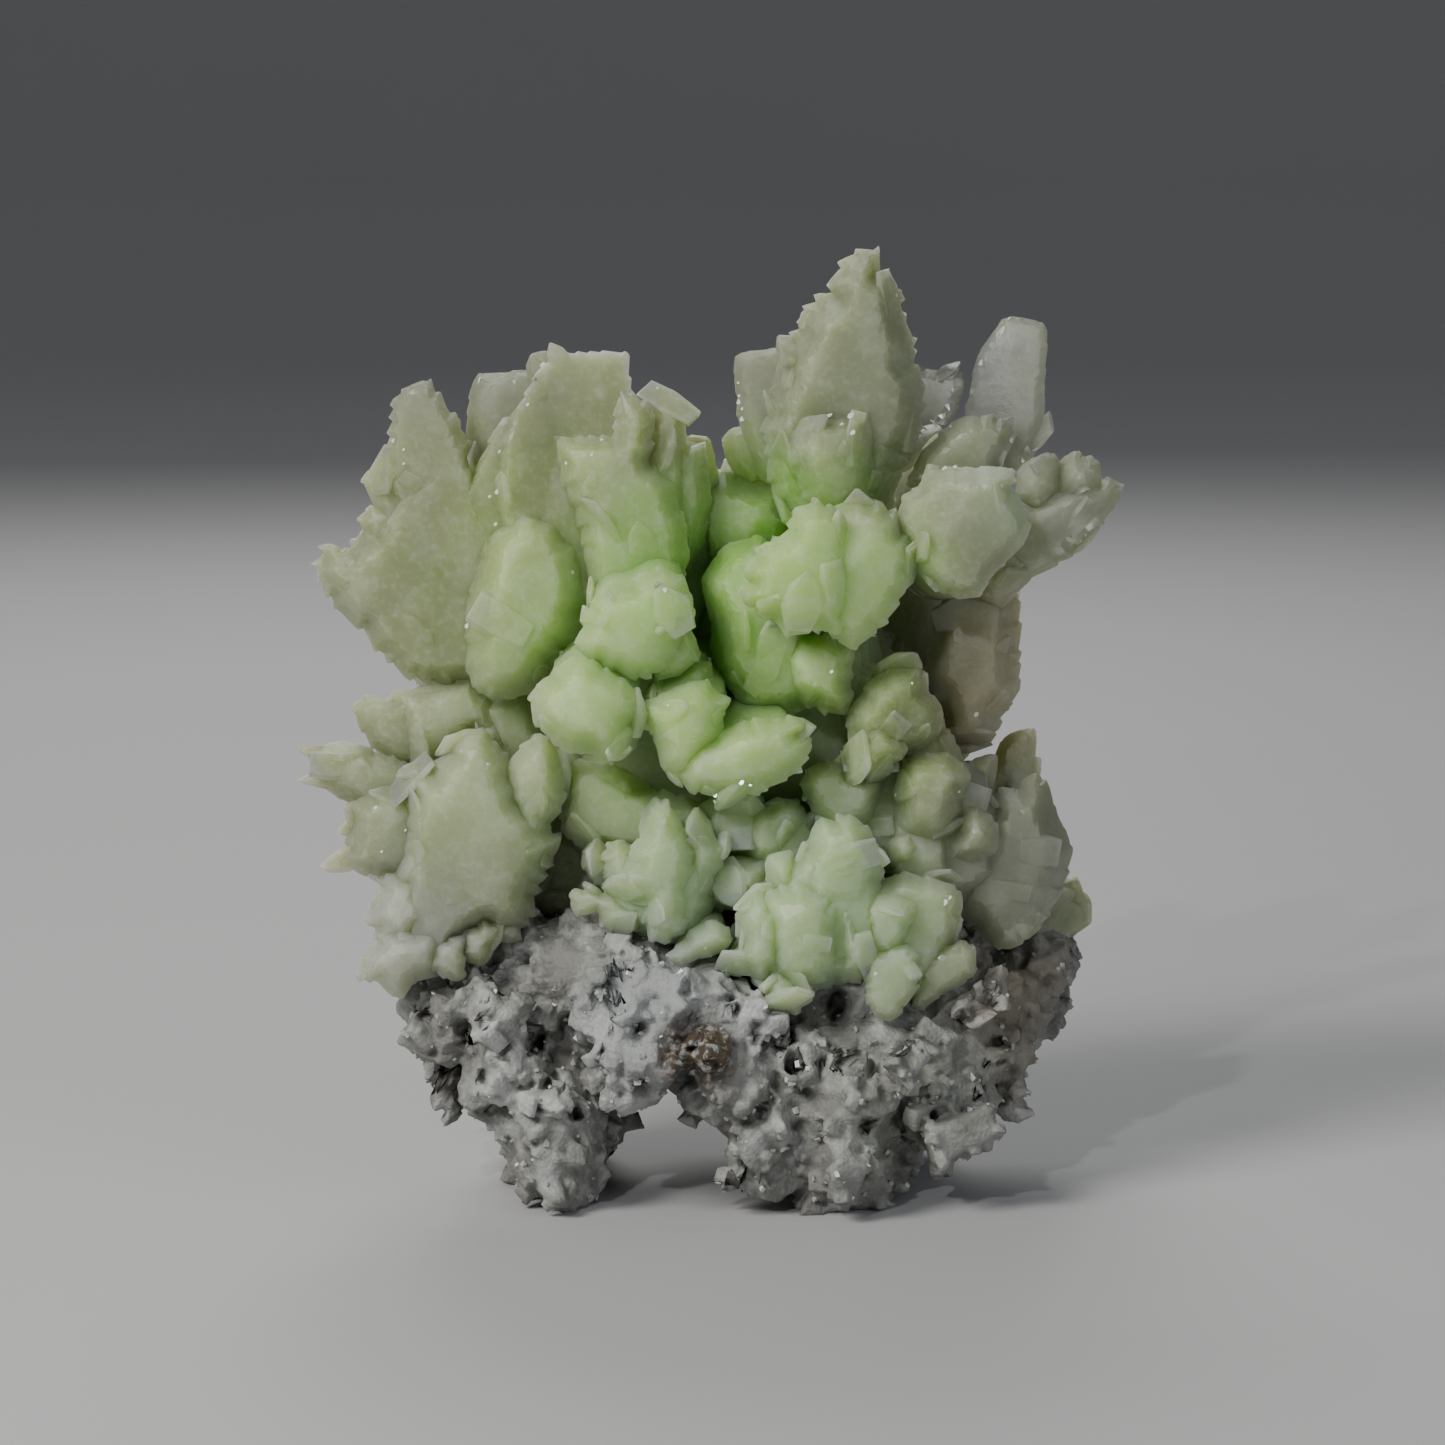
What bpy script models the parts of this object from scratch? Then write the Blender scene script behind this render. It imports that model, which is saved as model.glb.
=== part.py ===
"""A barite specimen: pale green blades grown in sprays on a grey, crystal-crusted piece of rock.

The crystals have grown into each other and are one solid. The rock (the matrix) is the other, and stands on
two ridges with a tunnel between them. Metres, +Z up, the front of the specimen towards -Y, the origin at the
middle of its footprint on the surface that it stands on.
"""

import itertools
import math
import random

import bmesh
import bpy
from mathutils import Vector

MM = 0.001
CONTACT_GAP = 0.36
CRYSTAL_SEED = 41
ROCK_SEED = 67
CRUST_SEED = 5
GOLDEN_ANGLE = math.radians(137.5)

# The crystals are placed as the front view shows them, in millimetres: across, depth (the way away from the
# viewer), up. The view looks down on the specimen a little, from a hand's length or two away.
VIEW_TILT = math.radians(8.0)
VIEW_DISTANCE = 320.0
VIEW_CENTRE_READ = Vector((0.5, 0.0, 31.5))
VIEW_CENTRE = Vector((0.5, 0.0, 30.3))
CENTRE_OF_FOOTPRINT = Vector((0.0, 4.05, 0.0))

# The outline of each form of crystal along its length: (share of the length, of the width, of the thickness).
FORMS = {
    "spear": ((0.0, 0.55, 0.60), (0.50, 1.00, 1.00), (1.0, 0.12, 0.20)),
    "flame": ((0.0, 0.60, 0.60), (0.42, 1.00, 1.00), (0.80, 0.68, 0.70), (1.0, 0.10, 0.16)),
    "chisel": ((0.0, 0.70, 0.80), (0.55, 1.00, 1.00), (1.0, 0.88, 0.42)),
    "lens": ((0.0, 0.50, 0.50), (0.45, 1.00, 1.00), (0.82, 0.76, 0.74), (1.0, 0.30, 0.34)),
    "bud": ((0.0, 0.60, 0.60), (0.58, 1.00, 1.00), (0.87, 0.80, 0.80), (1.0, 0.42, 0.42)),
    "stub": ((0.0, 0.60, 0.60), (0.76, 1.00, 1.00), (1.0, 0.72, 0.72)),
}
ROUND_FORMS = ("bud", "stub")
# A broad crystal has six sides: two wide faces, and four narrow ones that meet in its edges. A slim one has four.
BROAD_SECTION = ((1.0, 0.0), (0.58, 1.0), (-0.58, 1.0), (-1.0, 0.0), (-0.58, -1.0), (0.58, -1.0))
SLIM_SECTION = ((1.0, 0.0), (0.1, 1.0), (-1.0, 0.0), (-0.1, -1.0))
SECTION_SCATTER = 0.13

FRONT = (0, -1, 0)
UP = (0, -0.3, 1)

FLANK_BLADES = 1
BUD_BLADES = 1
LEAST_BROAD_WIDTH = 4.9
LEAST_WIDTH_WITH_BLADES = 7.3

# Each crystal: root, tip, width, thickness in millimetres, its form, the way its broad face looks,
# and how much higher its right-hand corner stands than its left at a chisel tip, as a share of the width.
UPPER_LEFT = (
    ((-11.0, 3.0, 31.0), (-18.6, -1.0, 53.5), 5.8, 4.6, "flame", FRONT, 0.0),
    ((-13.0, 2.0, 37.0), (-22.4, 0.0, 47.0), 4.8, 3.2, "chisel", FRONT, 0.10),
    ((-13.0, 2.5, 35.0), (-22.9, 0.8, 44.4), 4.2, 3.0, "spear", FRONT, 0.0),
    ((-8.0, 3.0, 32.5), (-25.6, -0.5, 41.6), 9.6, 6.0, "lens", FRONT, 0.0),
    ((-8.0, 2.0, 32.0), (-21.6, -2.0, 36.4), 6.4, 5.2, "lens", FRONT, 0.0),
    ((-8.0, 3.0, 43.0), (-13.4, -5.6, 35.2), 9.0, 9.6, "lens", FRONT, 0.0),
    ((-9.4, 2.0, 30.0), (-8.2, -2.2, 55.6), 7.4, 5.4, "chisel", FRONT, 0.02),
    ((-12.6, 3.0, 32.0), (-13.2, 1.6, 54.4), 6.0, 3.8, "chisel", FRONT, 0.10),
    ((-5.0, 3.0, 34.0), (-2.8, -1.0, 52.8), 5.0, 3.6, "flame", FRONT, 0.0),
    ((-6.0, 3.5, 32.0), (-5.0, 0.4, 52.8), 5.2, 3.8, "chisel", FRONT, -0.16),
    ((-3.4, 5.0, 33.0), (-1.0, 1.5, 49.8), 5.0, 4.0, "lens", FRONT, 0.0),
    ((-6.0, 5.0, 36.0), (-5.4, -4.0, 45.6), 8.0, 6.4, "bud", FRONT, 0.0),
    ((-3.8, 4.0, 36.0), (-4.7, -9.0, 38.6), 7.6, 7.8, "bud", UP, 0.0),
    ((-3.6, 3.0, 34.0), (-8.2, -9.6, 32.2), 7.0, 6.6, "stub", UP, 0.0),
    ((-10.0, 6.0, 30.0), (-15.5, 12.5, 48.0), 8.4, 5.4, "flame", (-0.4, 1, 0), 0.0),
    ((-7.0, 6.0, 28.0), (-6.0, 13.0, 51.0), 8.0, 5.6, "chisel", (0, 1, 0), -0.10),
    ((-9.0, 6.0, 28.0), (-20.0, 12.0, 39.0), 8.0, 5.8, "flame", (-0.5, 1, 0), 0.0),
    ((-6.0, 7.0, 26.0), (-10.0, 17.0, 38.0), 8.4, 7.2, "bud", UP, 0.0),
)
UPPER_RIGHT = (
    ((8.0, 3.0, 35.0), (10.2, -0.4, 62.0), 10.6, 7.6, "flame", FRONT, 0.0),
    ((8.0, 2.0, 38.0), (6.0, -1.8, 57.6), 6.0, 5.0, "flame", FRONT, 0.0),
    ((8.6, 2.0, 38.0), (12.6, -1.2, 57.4), 5.6, 5.0, "flame", FRONT, 0.0),
    ((7.4, 2.0, 37.0), (8.0, -4.0, 50.6), 7.6, 6.0, "lens", FRONT, 0.0),
    ((5.4, 4.0, 38.0), (2.9, 2.4, 55.6), 4.4, 2.6, "chisel", FRONT, 0.04),
    ((10.6, 4.0, 38.0), (14.0, 3.4, 53.8), 5.4, 3.0, "chisel", FRONT, -0.06),
    ((5.0, 4.0, 39.0), (1.2, 3.4, 49.4), 3.4, 2.6, "chisel", FRONT, 0.20),
    ((13.4, 6.0, 37.0), (19.6, 4.2, 57.2), 5.0, 3.0, "chisel", FRONT, -0.08),
    ((12.5, 4.0, 38.0), (16.2, 0.6, 51.4), 5.8, 4.0, "chisel", FRONT, 0.06),
    ((12.5, 5.0, 37.0), (15.9, -7.4, 43.4), 8.8, 8.6, "stub", UP, 0.0),
    ((15.5, 4.0, 39.0), (21.0, -0.2, 48.6), 4.2, 3.4, "lens", FRONT, 0.0),
    ((16.0, 4.0, 39.0), (23.8, 0.4, 48.6), 4.2, 3.2, "lens", FRONT, 0.0),
    ((13.0, 5.0, 38.0), (26.2, 1.0, 46.9), 6.8, 4.2, "flame", FRONT, 0.0),
    ((8.4, 4.0, 38.0), (7.8, -9.2, 40.4), 9.0, 7.6, "bud", UP, 0.0),
    ((8.6, 0.0, 40.6), (1.9, -6.6, 40.2), 6.0, 5.0, "lens", FRONT, 0.0),
    ((8.4, 0.0, 40.0), (4.6, -6.4, 44.8), 5.4, 4.6, "lens", FRONT, 0.0),
    ((8.8, 0.0, 40.0), (8.6, -5.6, 45.6), 6.0, 4.6, "lens", FRONT, 0.0),
    ((8.4, 0.0, 40.0), (13.6, -5.4, 39.6), 7.0, 5.4, "lens", FRONT, 0.0),
    ((8.0, 0.0, 40.0), (4.4, -7.0, 36.6), 5.6, 4.6, "lens", FRONT, 0.0),
    ((8.6, 0.0, 40.0), (9.0, -7.0, 35.4), 6.4, 4.8, "lens", FRONT, 0.0),
    ((5.6, 4.0, 31.0), (3.2, -1.4, 46.2), 8.0, 7.0, "lens", FRONT, 0.0),
    ((4.2, 1.0, 44.0), (2.8, -3.6, 32.2), 7.4, 6.4, "lens", FRONT, 0.0),
    ((1.0, 7.0, 30.0), (0.8, 4.6, 47.6), 7.4, 6.0, "lens", FRONT, 0.0),
    ((6.0, 1.0, 39.0), (7.6, -5.6, 33.2), 5.4, 4.4, "chisel", FRONT, 0.1),
    ((16.0, 6.0, 24.0), (17.2, 3.2, 44.0), 6.6, 6.4, "lens", FRONT, 0.0),
    ((6.0, 7.0, 30.0), (5.0, 13.0, 54.0), 8.4, 5.6, "flame", (0, 1, 0), 0.0),
    ((9.0, 7.0, 30.0), (14.5, 13.0, 50.0), 7.6, 5.0, "chisel", (0.3, 1, 0), 0.16),
    ((11.0, 7.0, 27.0), (18.4, 13.0, 40.0), 8.0, 5.6, "flame", (0.5, 1, 0), 0.0),
    ((6.0, 8.0, 24.0), (9.5, 18.5, 38.0), 9.2, 7.8, "bud", UP, 0.0),
    ((1.5, 8.0, 22.0), (-1.0, 17.5, 29.0), 8.6, 7.2, "bud", UP, 0.0),
)
MIDDLE_RIGHT = (
    ((9.0, 5.0, 26.0), (12.2, -3.2, 35.2), 5.6, 4.4, "lens", FRONT, 0.0),
    ((7.6, 5.0, 24.0), (10.2, -5.2, 32.4), 6.2, 5.6, "bud", FRONT, 0.0),
    ((10.0, 5.0, 22.0), (14.4, -3.6, 29.9), 6.4, 5.4, "lens", FRONT, 0.0),
    ((13.0, 5.0, 22.0), (18.1, 0.8, 29.6), 3.8, 2.8, "spear", FRONT, 0.0),
    ((13.0, 9.0, 20.0), (20.6, 7.6, 30.2), 4.4, 3.0, "chisel", FRONT, 0.2),
    ((11.0, 3.0, 21.0), (16.6, -5.0, 24.8), 4.4, 4.0, "bud", UP, 0.0),
    ((14.0, 6.0, 17.0), (20.8, 0.6, 27.8), 8.6, 7.0, "lens", FRONT, 0.0),
    ((9.0, 4.0, 21.0), (12.2, -4.6, 23.8), 3.8, 3.6, "bud", UP, 0.0),
    ((7.0, 4.0, 20.0), (8.8, -3.0, 28.6), 5.6, 4.2, "chisel", FRONT, 0.10),
    ((13.0, 9.0, 19.0), (24.0, 13.0, 19.4), 6.8, 6.0, "lens", FRONT, 0.0),
    ((12.0, 9.0, 20.0), (18.5, 17.0, 27.0), 8.0, 6.4, "bud", UP, 0.0),
    ((4.0, 9.0, 20.0), (7.0, 19.0, 23.0), 7.0, 6.0, "bud", UP, 0.0),
)
LOWER_FRONT = (
    ((7.4, 2.0, 20.0), (8.2, -8.8, 25.6), 5.4, 4.6, "chisel", FRONT, -0.06),
    ((5.0, 2.0, 20.0), (4.4, -7.8, 23.4), 3.0, 2.6, "chisel", FRONT, 0.1),
    ((5.6, 2.0, 18.0), (5.4, -10.6, 21.0), 6.4, 5.6, "bud", UP, 0.0),
    ((5.6, 0.0, 20.0), (2.6, -9.6, 19.6), 5.2, 4.4, "lens", FRONT, 0.0),
    ((7.0, 0.0, 20.0), (8.6, -9.8, 17.0), 5.4, 4.6, "lens", FRONT, 0.0),
    ((5.0, 0.0, 20.0), (5.2, -10.6, 14.8), 5.6, 4.8, "lens", FRONT, 0.0),
    ((8.8, 1.0, 21.0), (11.8, -9.4, 20.2), 4.2, 3.8, "chisel", FRONT, 0.0),
    ((11.0, 3.0, 21.0), (14.8, -6.6, 20.8), 4.4, 3.8, "lens", FRONT, 0.0),
    ((9.6, 0.0, 22.0), (12.0, -10.4, 14.4), 5.4, 4.6, "flame", FRONT, 0.0),
    ((10.6, 1.0, 21.0), (16.0, -8.4, 16.2), 4.6, 3.8, "chisel", FRONT, 0.1),
    ((-3.2, 3.0, 20.0), (-3.4, -9.4, 26.0), 4.8, 4.2, "flame", FRONT, 0.0),
    ((-2.8, 3.0, 20.0), (-0.4, -7.6, 24.4), 5.2, 4.8, "lens", FRONT, 0.0),
    ((-3.2, 3.0, 20.0), (-3.2, -10.4, 21.4), 5.4, 5.0, "bud", UP, 0.0),
    ((-3.6, 2.0, 21.0), (-3.6, -9.4, 17.0), 5.4, 4.4, "lens", FRONT, 0.0),
    ((-4.6, 3.0, 21.0), (-6.7, -5.8, 22.8), 4.2, 3.6, "chisel", FRONT, 0.08),
    ((-6.0, 3.0, 21.0), (-8.7, -7.4, 18.8), 3.6, 3.2, "spear", FRONT, 0.0),
    ((0.0, 3.0, 21.0), (0.8, -10.2, 17.4), 5.6, 5.0, "bud", UP, 0.0),
    ((-2.0, 4.0, 31.0), (-1.8, -9.0, 30.4), 6.0, 6.0, "lens", FRONT, 0.0),
    ((-2.0, 0.0, 28.0), (5.8, -9.4, 29.0), 5.6, 4.6, "flame", FRONT, 0.0),
    ((0.5, 5.0, 20.0), (1.6, -4.4, 27.0), 6.4, 5.4, "lens", FRONT, 0.0),
    ((-4.0, 5.0, 20.0), (-7.4, -3.6, 28.4), 6.8, 5.4, "lens", FRONT, 0.0),
    ((3.0, 5.0, 20.0), (4.6, -4.2, 23.8), 6.0, 5.2, "bud", FRONT, 0.0),
)
LOWER_LEFT = (
    ((-14.8, -1.0, 14.6), (-15.2, -6.4, 32.2), 9.6, 9.0, "flame", FRONT, 0.0),
    ((-13.6, -1.0, 16.0), (-18.6, -6.6, 27.0), 6.6, 6.0, "lens", FRONT, 0.0),
    ((-13.6, -2.0, 24.0), (-16.6, -7.6, 14.8), 8.0, 6.0, "lens", FRONT, 0.0),
    ((-13.0, -2.0, 24.0), (-12.6, -7.8, 16.0), 6.2, 5.0, "lens", FRONT, 0.0),
    ((-13.0, 2.0, 19.0), (-19.2, -5.4, 29.0), 5.6, 4.8, "chisel", FRONT, 0.12),
    ((-11.5, 2.0, 20.0), (-10.9, -5.6, 30.8), 5.4, 4.2, "lens", FRONT, 0.0),
    ((-12.0, 2.0, 19.0), (-10.8, -6.6, 22.4), 5.0, 4.8, "lens", FRONT, 0.0),
    ((-15.0, 3.0, 23.0), (-26.2, -1.0, 29.8), 4.8, 3.8, "spear", FRONT, 0.0),
    ((-14.0, 5.0, 24.0), (-22.9, 0.6, 32.6), 5.0, 3.6, "lens", FRONT, 0.0),
    ((-13.0, 5.0, 24.0), (-19.2, 0.0, 33.4), 6.4, 4.4, "chisel", FRONT, 0.06),
    ((-14.5, 3.0, 22.0), (-24.0, -2.4, 23.8), 5.4, 4.6, "flame", FRONT, 0.0),
    ((-14.5, 2.0, 20.0), (-22.9, -4.4, 19.2), 5.2, 4.6, "spear", FRONT, 0.0),
    ((-14.5, 2.0, 20.0), (-22.4, -5.8, 14.8), 5.6, 4.6, "flame", FRONT, 0.0),
    ((-13.0, 5.0, 20.0), (-21.0, 10.0, 25.0), 7.8, 6.0, "flame", (-0.5, 1, 0), 0.0),
    ((-10.0, 7.0, 20.0), (-13.0, 15.5, 25.0), 8.4, 7.0, "bud", UP, 0.0),
)
# The thick middle that every spray grows out of.
HEART = (
    ((-2.0, 6.0, 19.0), (-6.0, 5.0, 40.0), 12.0, 12.0, "lens", FRONT, 0.0),
    ((4.0, 6.0, 19.0), (7.0, 5.0, 42.0), 12.0, 12.0, "lens", FRONT, 0.0),
    ((0.0, 6.0, 21.0), (-15.0, 3.0, 22.0), 9.0, 9.0, "bud", FRONT, 0.0),
    ((0.0, 6.0, 21.0), (15.0, 5.0, 22.0), 9.0, 9.0, "bud", FRONT, 0.0),
)
SPRAYS = (HEART, UPPER_LEFT, UPPER_RIGHT, LOWER_LEFT, LOWER_FRONT, MIDDLE_RIGHT)

# The masses that the rock is made of: centre and half sizes in millimetres.
ROCK_MASSES = (
    ((-3.0, 1.0, 13.0), (15.0, 10.0, 6.0)),
    ((11.0, 3.0, 12.0), (11.0, 11.0, 6.5)),
    ((-16.0, -1.0, 12.6), (5.0, 6.5, 2.6)),
    ((-12.5, -1.0, 9.4), (4.2, 7.5, 4.2)),
    ((-10.0, -4.4, 4.2), (3.4, 4.8, 6.2)),
    ((-10.4, 6.0, 4.4), (3.8, 5.6, 6.2)),
    ((-5.0, -5.2, 12.0), (5.6, 5.4, 4.6)),
    ((1.0, -6.0, 9.6), (3.4, 4.8, 4.8)),
    ((3.2, -6.6, 6.4), (2.4, 3.4, 3.2)),
    ((8.8, -3.6, 5.2), (6.6, 6.8, 7.2)),
    ((8.6, 7.4, 5.0), (6.0, 6.6, 7.0)),
    ((14.0, -2.0, 8.6), (5.4, 7.0, 3.6)),
    ((18.0, 7.0, 11.6), (6.0, 7.0, 4.6)),
    ((0.0, 10.0, 12.0), (12.0, 6.0, 6.4)),
)
# Open pits (vugs) in the rock's front, sides and back: centre and radius in millimetres.
ROCK_PITS = (
    ((-10.0, -9.6, 11.0), 1.5),
    ((-11.6, -9.0, 9.2), 1.0),
    ((-4.4, -11.0, 11.4), 0.9),
    ((-0.8, -11.2, 10.6), 1.3),
    ((3.2, -11.0, 6.8), 1.2),
    ((6.8, -9.8, 11.8), 1.3),
    ((10.6, -10.0, 5.8), 1.0),
    ((18.4, -2.6, 12.4), 1.6),
    ((22.6, 4.0, 9.4), 1.5),
    ((-18.6, -4.6, 11.6), 0.9),
    ((-5.0, 16.0, 12.0), 1.8),
    ((5.0, 16.2, 9.0), 1.4),
    ((16.0, 14.2, 12.0), 1.5),
)
ROCK_CORNERS = 22
CRUST_BLOCKS = 36
CRUST_CORNERS = 8
CRUST_HALF_SIZE = (1.5, 2.9)
CRUST_BOTTOM = 2.5
CRUST_TOP = 15.5
PIT_CORNERS = 12
TUNNEL_LOW = Vector((-6.2, -16.0, -2.0))
TUNNEL_HIGH = Vector((1.2, 20.0, 6.6))
TUNNEL_CHAMFER = 1.6

CRYSTAL_COLOUR = (0.55, 0.62, 0.47, 1.0)
ROCK_COLOUR = (0.36, 0.36, 0.34, 1.0)


def clear_scene():
    for item in list(bpy.data.objects):
        bpy.data.objects.remove(item)


def finish_material(name, colour, roughness):
    """A plain surface of one colour."""
    material = bpy.data.materials.new(name)
    material.use_nodes = True
    shader = material.node_tree.nodes["Principled BSDF"]
    shader.inputs["Base Color"].default_value = colour
    shader.inputs["Roughness"].default_value = roughness
    shader.inputs["Metallic"].default_value = 0.0
    return material


def placed(point):
    """A point read off the front view as a place in the part's frame."""
    across, depth, up = Vector(point) - VIEW_CENTRE_READ
    away = 1 + (depth * math.cos(VIEW_TILT) - up * math.sin(VIEW_TILT)) / VIEW_DISTANCE
    height = (up * away - depth * math.sin(VIEW_TILT)) / math.cos(VIEW_TILT)
    return VIEW_CENTRE + Vector((across * away, depth, height)) - CENTRE_OF_FOOTPRINT


def rock_place(point):
    """A place given over the rock's own footprint as a place in the part's frame."""
    return Vector(point) - CENTRE_OF_FOOTPRINT


def unit_frame(root, tip, facing):
    """The crystal's own directions: along its length, across its width and across its thickness."""
    along = (tip - root).normalized()
    facing = Vector(facing)
    through = (facing - along * facing.dot(along)).normalized()
    return along, along.cross(through), through


def irregular_section(rng, width):
    """A crystal's section with every corner a little out of place, as none is quite regular."""
    corners = BROAD_SECTION if width >= LEAST_BROAD_WIDTH else SLIM_SECTION
    return [[x + rng.uniform(-SECTION_SCATTER, SECTION_SCATTER) for x in corner] for corner in corners]


def blade_mesh(section, root, tip, width, thick, form, facing, slant=0.0):
    """One closed crystal: rings of six corners along its length, with a flat face at each end."""
    along, across, through = unit_frame(root, tip, facing)
    length = (tip - root).length
    mesh = bmesh.new()
    rings = []
    for share, wide, deep in FORMS[form]:
        lift = slant * width * share**4
        ring = []
        for side, front in section:
            point = root + along * (share * length - side * lift / 2)
            point = point + across * (side * wide * width / 2) + through * (front * deep * thick / 2)
            ring.append(mesh.verts.new(point))
        rings.append(ring)
    for lower, upper in zip(rings, rings[1:]):
        for k in range(len(section)):
            after = (k + 1) % len(section)
            mesh.faces.new((lower[k], lower[after], upper[after], upper[k]))
    mesh.faces.new(rings[0][::-1])
    mesh.faces.new(rings[-1])
    return mesh


def reach(form, share):
    """How wide the form is at that share of its length."""
    outline = FORMS[form]
    for (low, wide_low, _), (high, wide_high, _) in zip(outline, outline[1:]):
        if share <= high:
            return wide_low + (wide_high - wide_low) * (share - low) / (high - low)
    return outline[-1][1]


def side_blades(rng, crystal):
    """The smaller crystals grown in parallel on a flat crystal's flanks, or like petals around a bud."""
    root, tip, width, thick, form, facing, _ = crystal
    if width < LEAST_WIDTH_WITH_BLADES:
        return []
    root, tip = placed(root), placed(tip)
    along, across, through = unit_frame(root, tip, facing)
    length = (tip - root).length
    turn = rng.uniform(0, math.tau)
    first_side = rng.choice((0, 1))
    blades = []
    for k in range(BUD_BLADES if form in ROUND_FORMS else FLANK_BLADES):
        if form in ROUND_FORMS:
            angle = turn + GOLDEN_ANGLE * k
            share = 0.93 - 0.10 * (k % 3) - rng.uniform(0.0, 0.05)
        else:
            angle = math.pi * (first_side + k) + rng.uniform(-0.35, 0.35)
            share = 0.84 - 0.22 * (k // 2) - rng.uniform(0.0, 0.12)
        outward = across * (math.cos(angle) * width / 2) + through * (math.sin(angle) * thick / 2)
        end = root + along * (length * share) + outward * (reach(form, share) * rng.uniform(0.92, 1.12))
        start = root + along * (length * (share - rng.uniform(0.40, 0.55))) + outward * 0.28
        size = rng.uniform(0.46, 0.62)
        if form in ROUND_FORMS:
            blades.append((start, end, size * 1.25 * width, size * 0.8 * thick, "spear", outward))
        else:
            blades.append((start, end, size * width, size * 1.15 * thick, form, facing))
    return blades


def crystal_meshes():
    """Every crystal of every spray, with its side blades, each as its own closed mesh."""
    meshes = []
    for number, crystal in enumerate(itertools.chain(*SPRAYS)):
        rng = random.Random(CRYSTAL_SEED + number)
        root, tip, width, *rest = crystal
        section = irregular_section(rng, width)
        meshes.append(blade_mesh(section, placed(root), placed(tip), width, *rest))
        for start, end, wide, *others in side_blades(rng, crystal):
            meshes.append(blade_mesh(irregular_section(rng, wide), start, end, wide, *others))
    return meshes


def object_of(name, mesh):
    """A scene object, in metres, from a bmesh in millimetres."""
    bmesh.ops.scale(mesh, verts=mesh.verts, vec=(MM, MM, MM))
    bmesh.ops.recalc_face_normals(mesh, faces=mesh.faces)
    data = bpy.data.meshes.new(name)
    mesh.to_mesh(data)
    mesh.free()
    item = bpy.data.objects.new(name, data)
    bpy.context.scene.collection.objects.link(item)
    return item


def combine(item, operation, meshes):
    """Joins all the meshes to the object, or cuts them all from it, with one Boolean."""
    group = bpy.data.collections.new("helpers")
    bpy.context.scene.collection.children.link(group)
    for mesh in meshes:
        helper = object_of("helper", mesh)
        bpy.context.scene.collection.objects.unlink(helper)
        group.objects.link(helper)
    step = item.modifiers.new(operation.title(), "BOOLEAN")
    step.operation = operation
    step.operand_type = "COLLECTION"
    step.collection = group
    step.solver = "EXACT"
    graph = bpy.context.evaluated_depsgraph_get()
    made = bpy.data.meshes.new_from_object(item.evaluated_get(graph))
    item.modifiers.clear()
    item.data = made
    for helper in list(group.objects):
        bpy.data.objects.remove(helper)
    bpy.data.collections.remove(group)


def bodies_of(mesh):
    """The vertices of each separate body of a bmesh, the smallest body first."""
    left = set(mesh.verts)
    bodies = []
    while left:
        seed = left.pop()
        body = {seed}
        front = [seed]
        while front:
            vert = front.pop()
            for edge in vert.link_edges:
                other = edge.other_vert(vert)
                if other in left:
                    left.remove(other)
                    body.add(other)
                    front.append(other)
        bodies.append(body)
    return sorted(bodies, key=len)


def keep_largest_body(item):
    """Drops the crumbs that a cut left loose, so that the solid is one body."""
    mesh = bmesh.new()
    mesh.from_mesh(item.data)
    for crumb in bodies_of(mesh)[:-1]:
        bmesh.ops.delete(mesh, geom=list(crumb), context="VERTS")
    mesh.to_mesh(item.data)
    mesh.free()


def finish(item, material):
    keep_largest_body(item)
    item.data.materials.clear()
    item.data.materials.append(material)


def angular_block(rng, centre, half, corners, grow=0.0):
    """A closed block with flat faces: the hull of points scattered on an egg shape, swollen by grow."""
    mesh = bmesh.new()
    for _ in range(corners):
        direction = Vector((rng.gauss(0, 1), rng.gauss(0, 1), rng.gauss(0, 1))).normalized()
        spread = rng.uniform(0.92, 1.08)
        mesh.verts.new(centre + Vector(d * (h * spread + grow) for d, h in zip(direction, half)))
    hull = bmesh.ops.convex_hull(mesh, input=mesh.verts)
    inside = [v for v in hull["geom_interior"] if isinstance(v, bmesh.types.BMVert)]
    bmesh.ops.delete(mesh, geom=inside, context="VERTS")
    return mesh


def depth_in(point, mass):
    """Under 1 inside that mass of rock, 1 on its surface."""
    centre, half = mass
    return math.sqrt(sum(((p - c) / h) ** 2 for p, c, h in zip(point, centre, half)))


def crust_places(rng):
    """Where the small blocks stand that give the rock its knobbly skin, with their half sizes."""
    places = []
    while len(places) < CRUST_BLOCKS:
        mass = rng.choice(ROCK_MASSES)
        direction = Vector((rng.gauss(0, 1), rng.gauss(0, 1), rng.gauss(0, 1))).normalized()
        point = Vector(mass[0]) + Vector(d * h for d, h in zip(direction, mass[1]))
        buried = any(depth_in(point, other) < 0.96 for other in ROCK_MASSES if other is not mass)
        in_tunnel = TUNNEL_LOW.x < point.x < TUNNEL_HIGH.x and point.z < TUNNEL_HIGH.z
        if buried or in_tunnel or not CRUST_BOTTOM < point.z < CRUST_TOP:
            continue
        places.append((point, [rng.uniform(*CRUST_HALF_SIZE) for _ in range(3)]))
    return places


def rock_lumps(grow=0.0):
    """Every mass and crust block of the rock as its own closed mesh, swollen by grow."""
    rng = random.Random(ROCK_SEED)
    masses = [angular_block(rng, rock_place(centre), half, ROCK_CORNERS, grow) for centre, half in ROCK_MASSES]
    rng = random.Random(CRUST_SEED)
    crust = [
        angular_block(rng, rock_place(centre), half, CRUST_CORNERS, grow) for centre, half in crust_places(rng)
    ]
    return masses + crust


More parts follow.
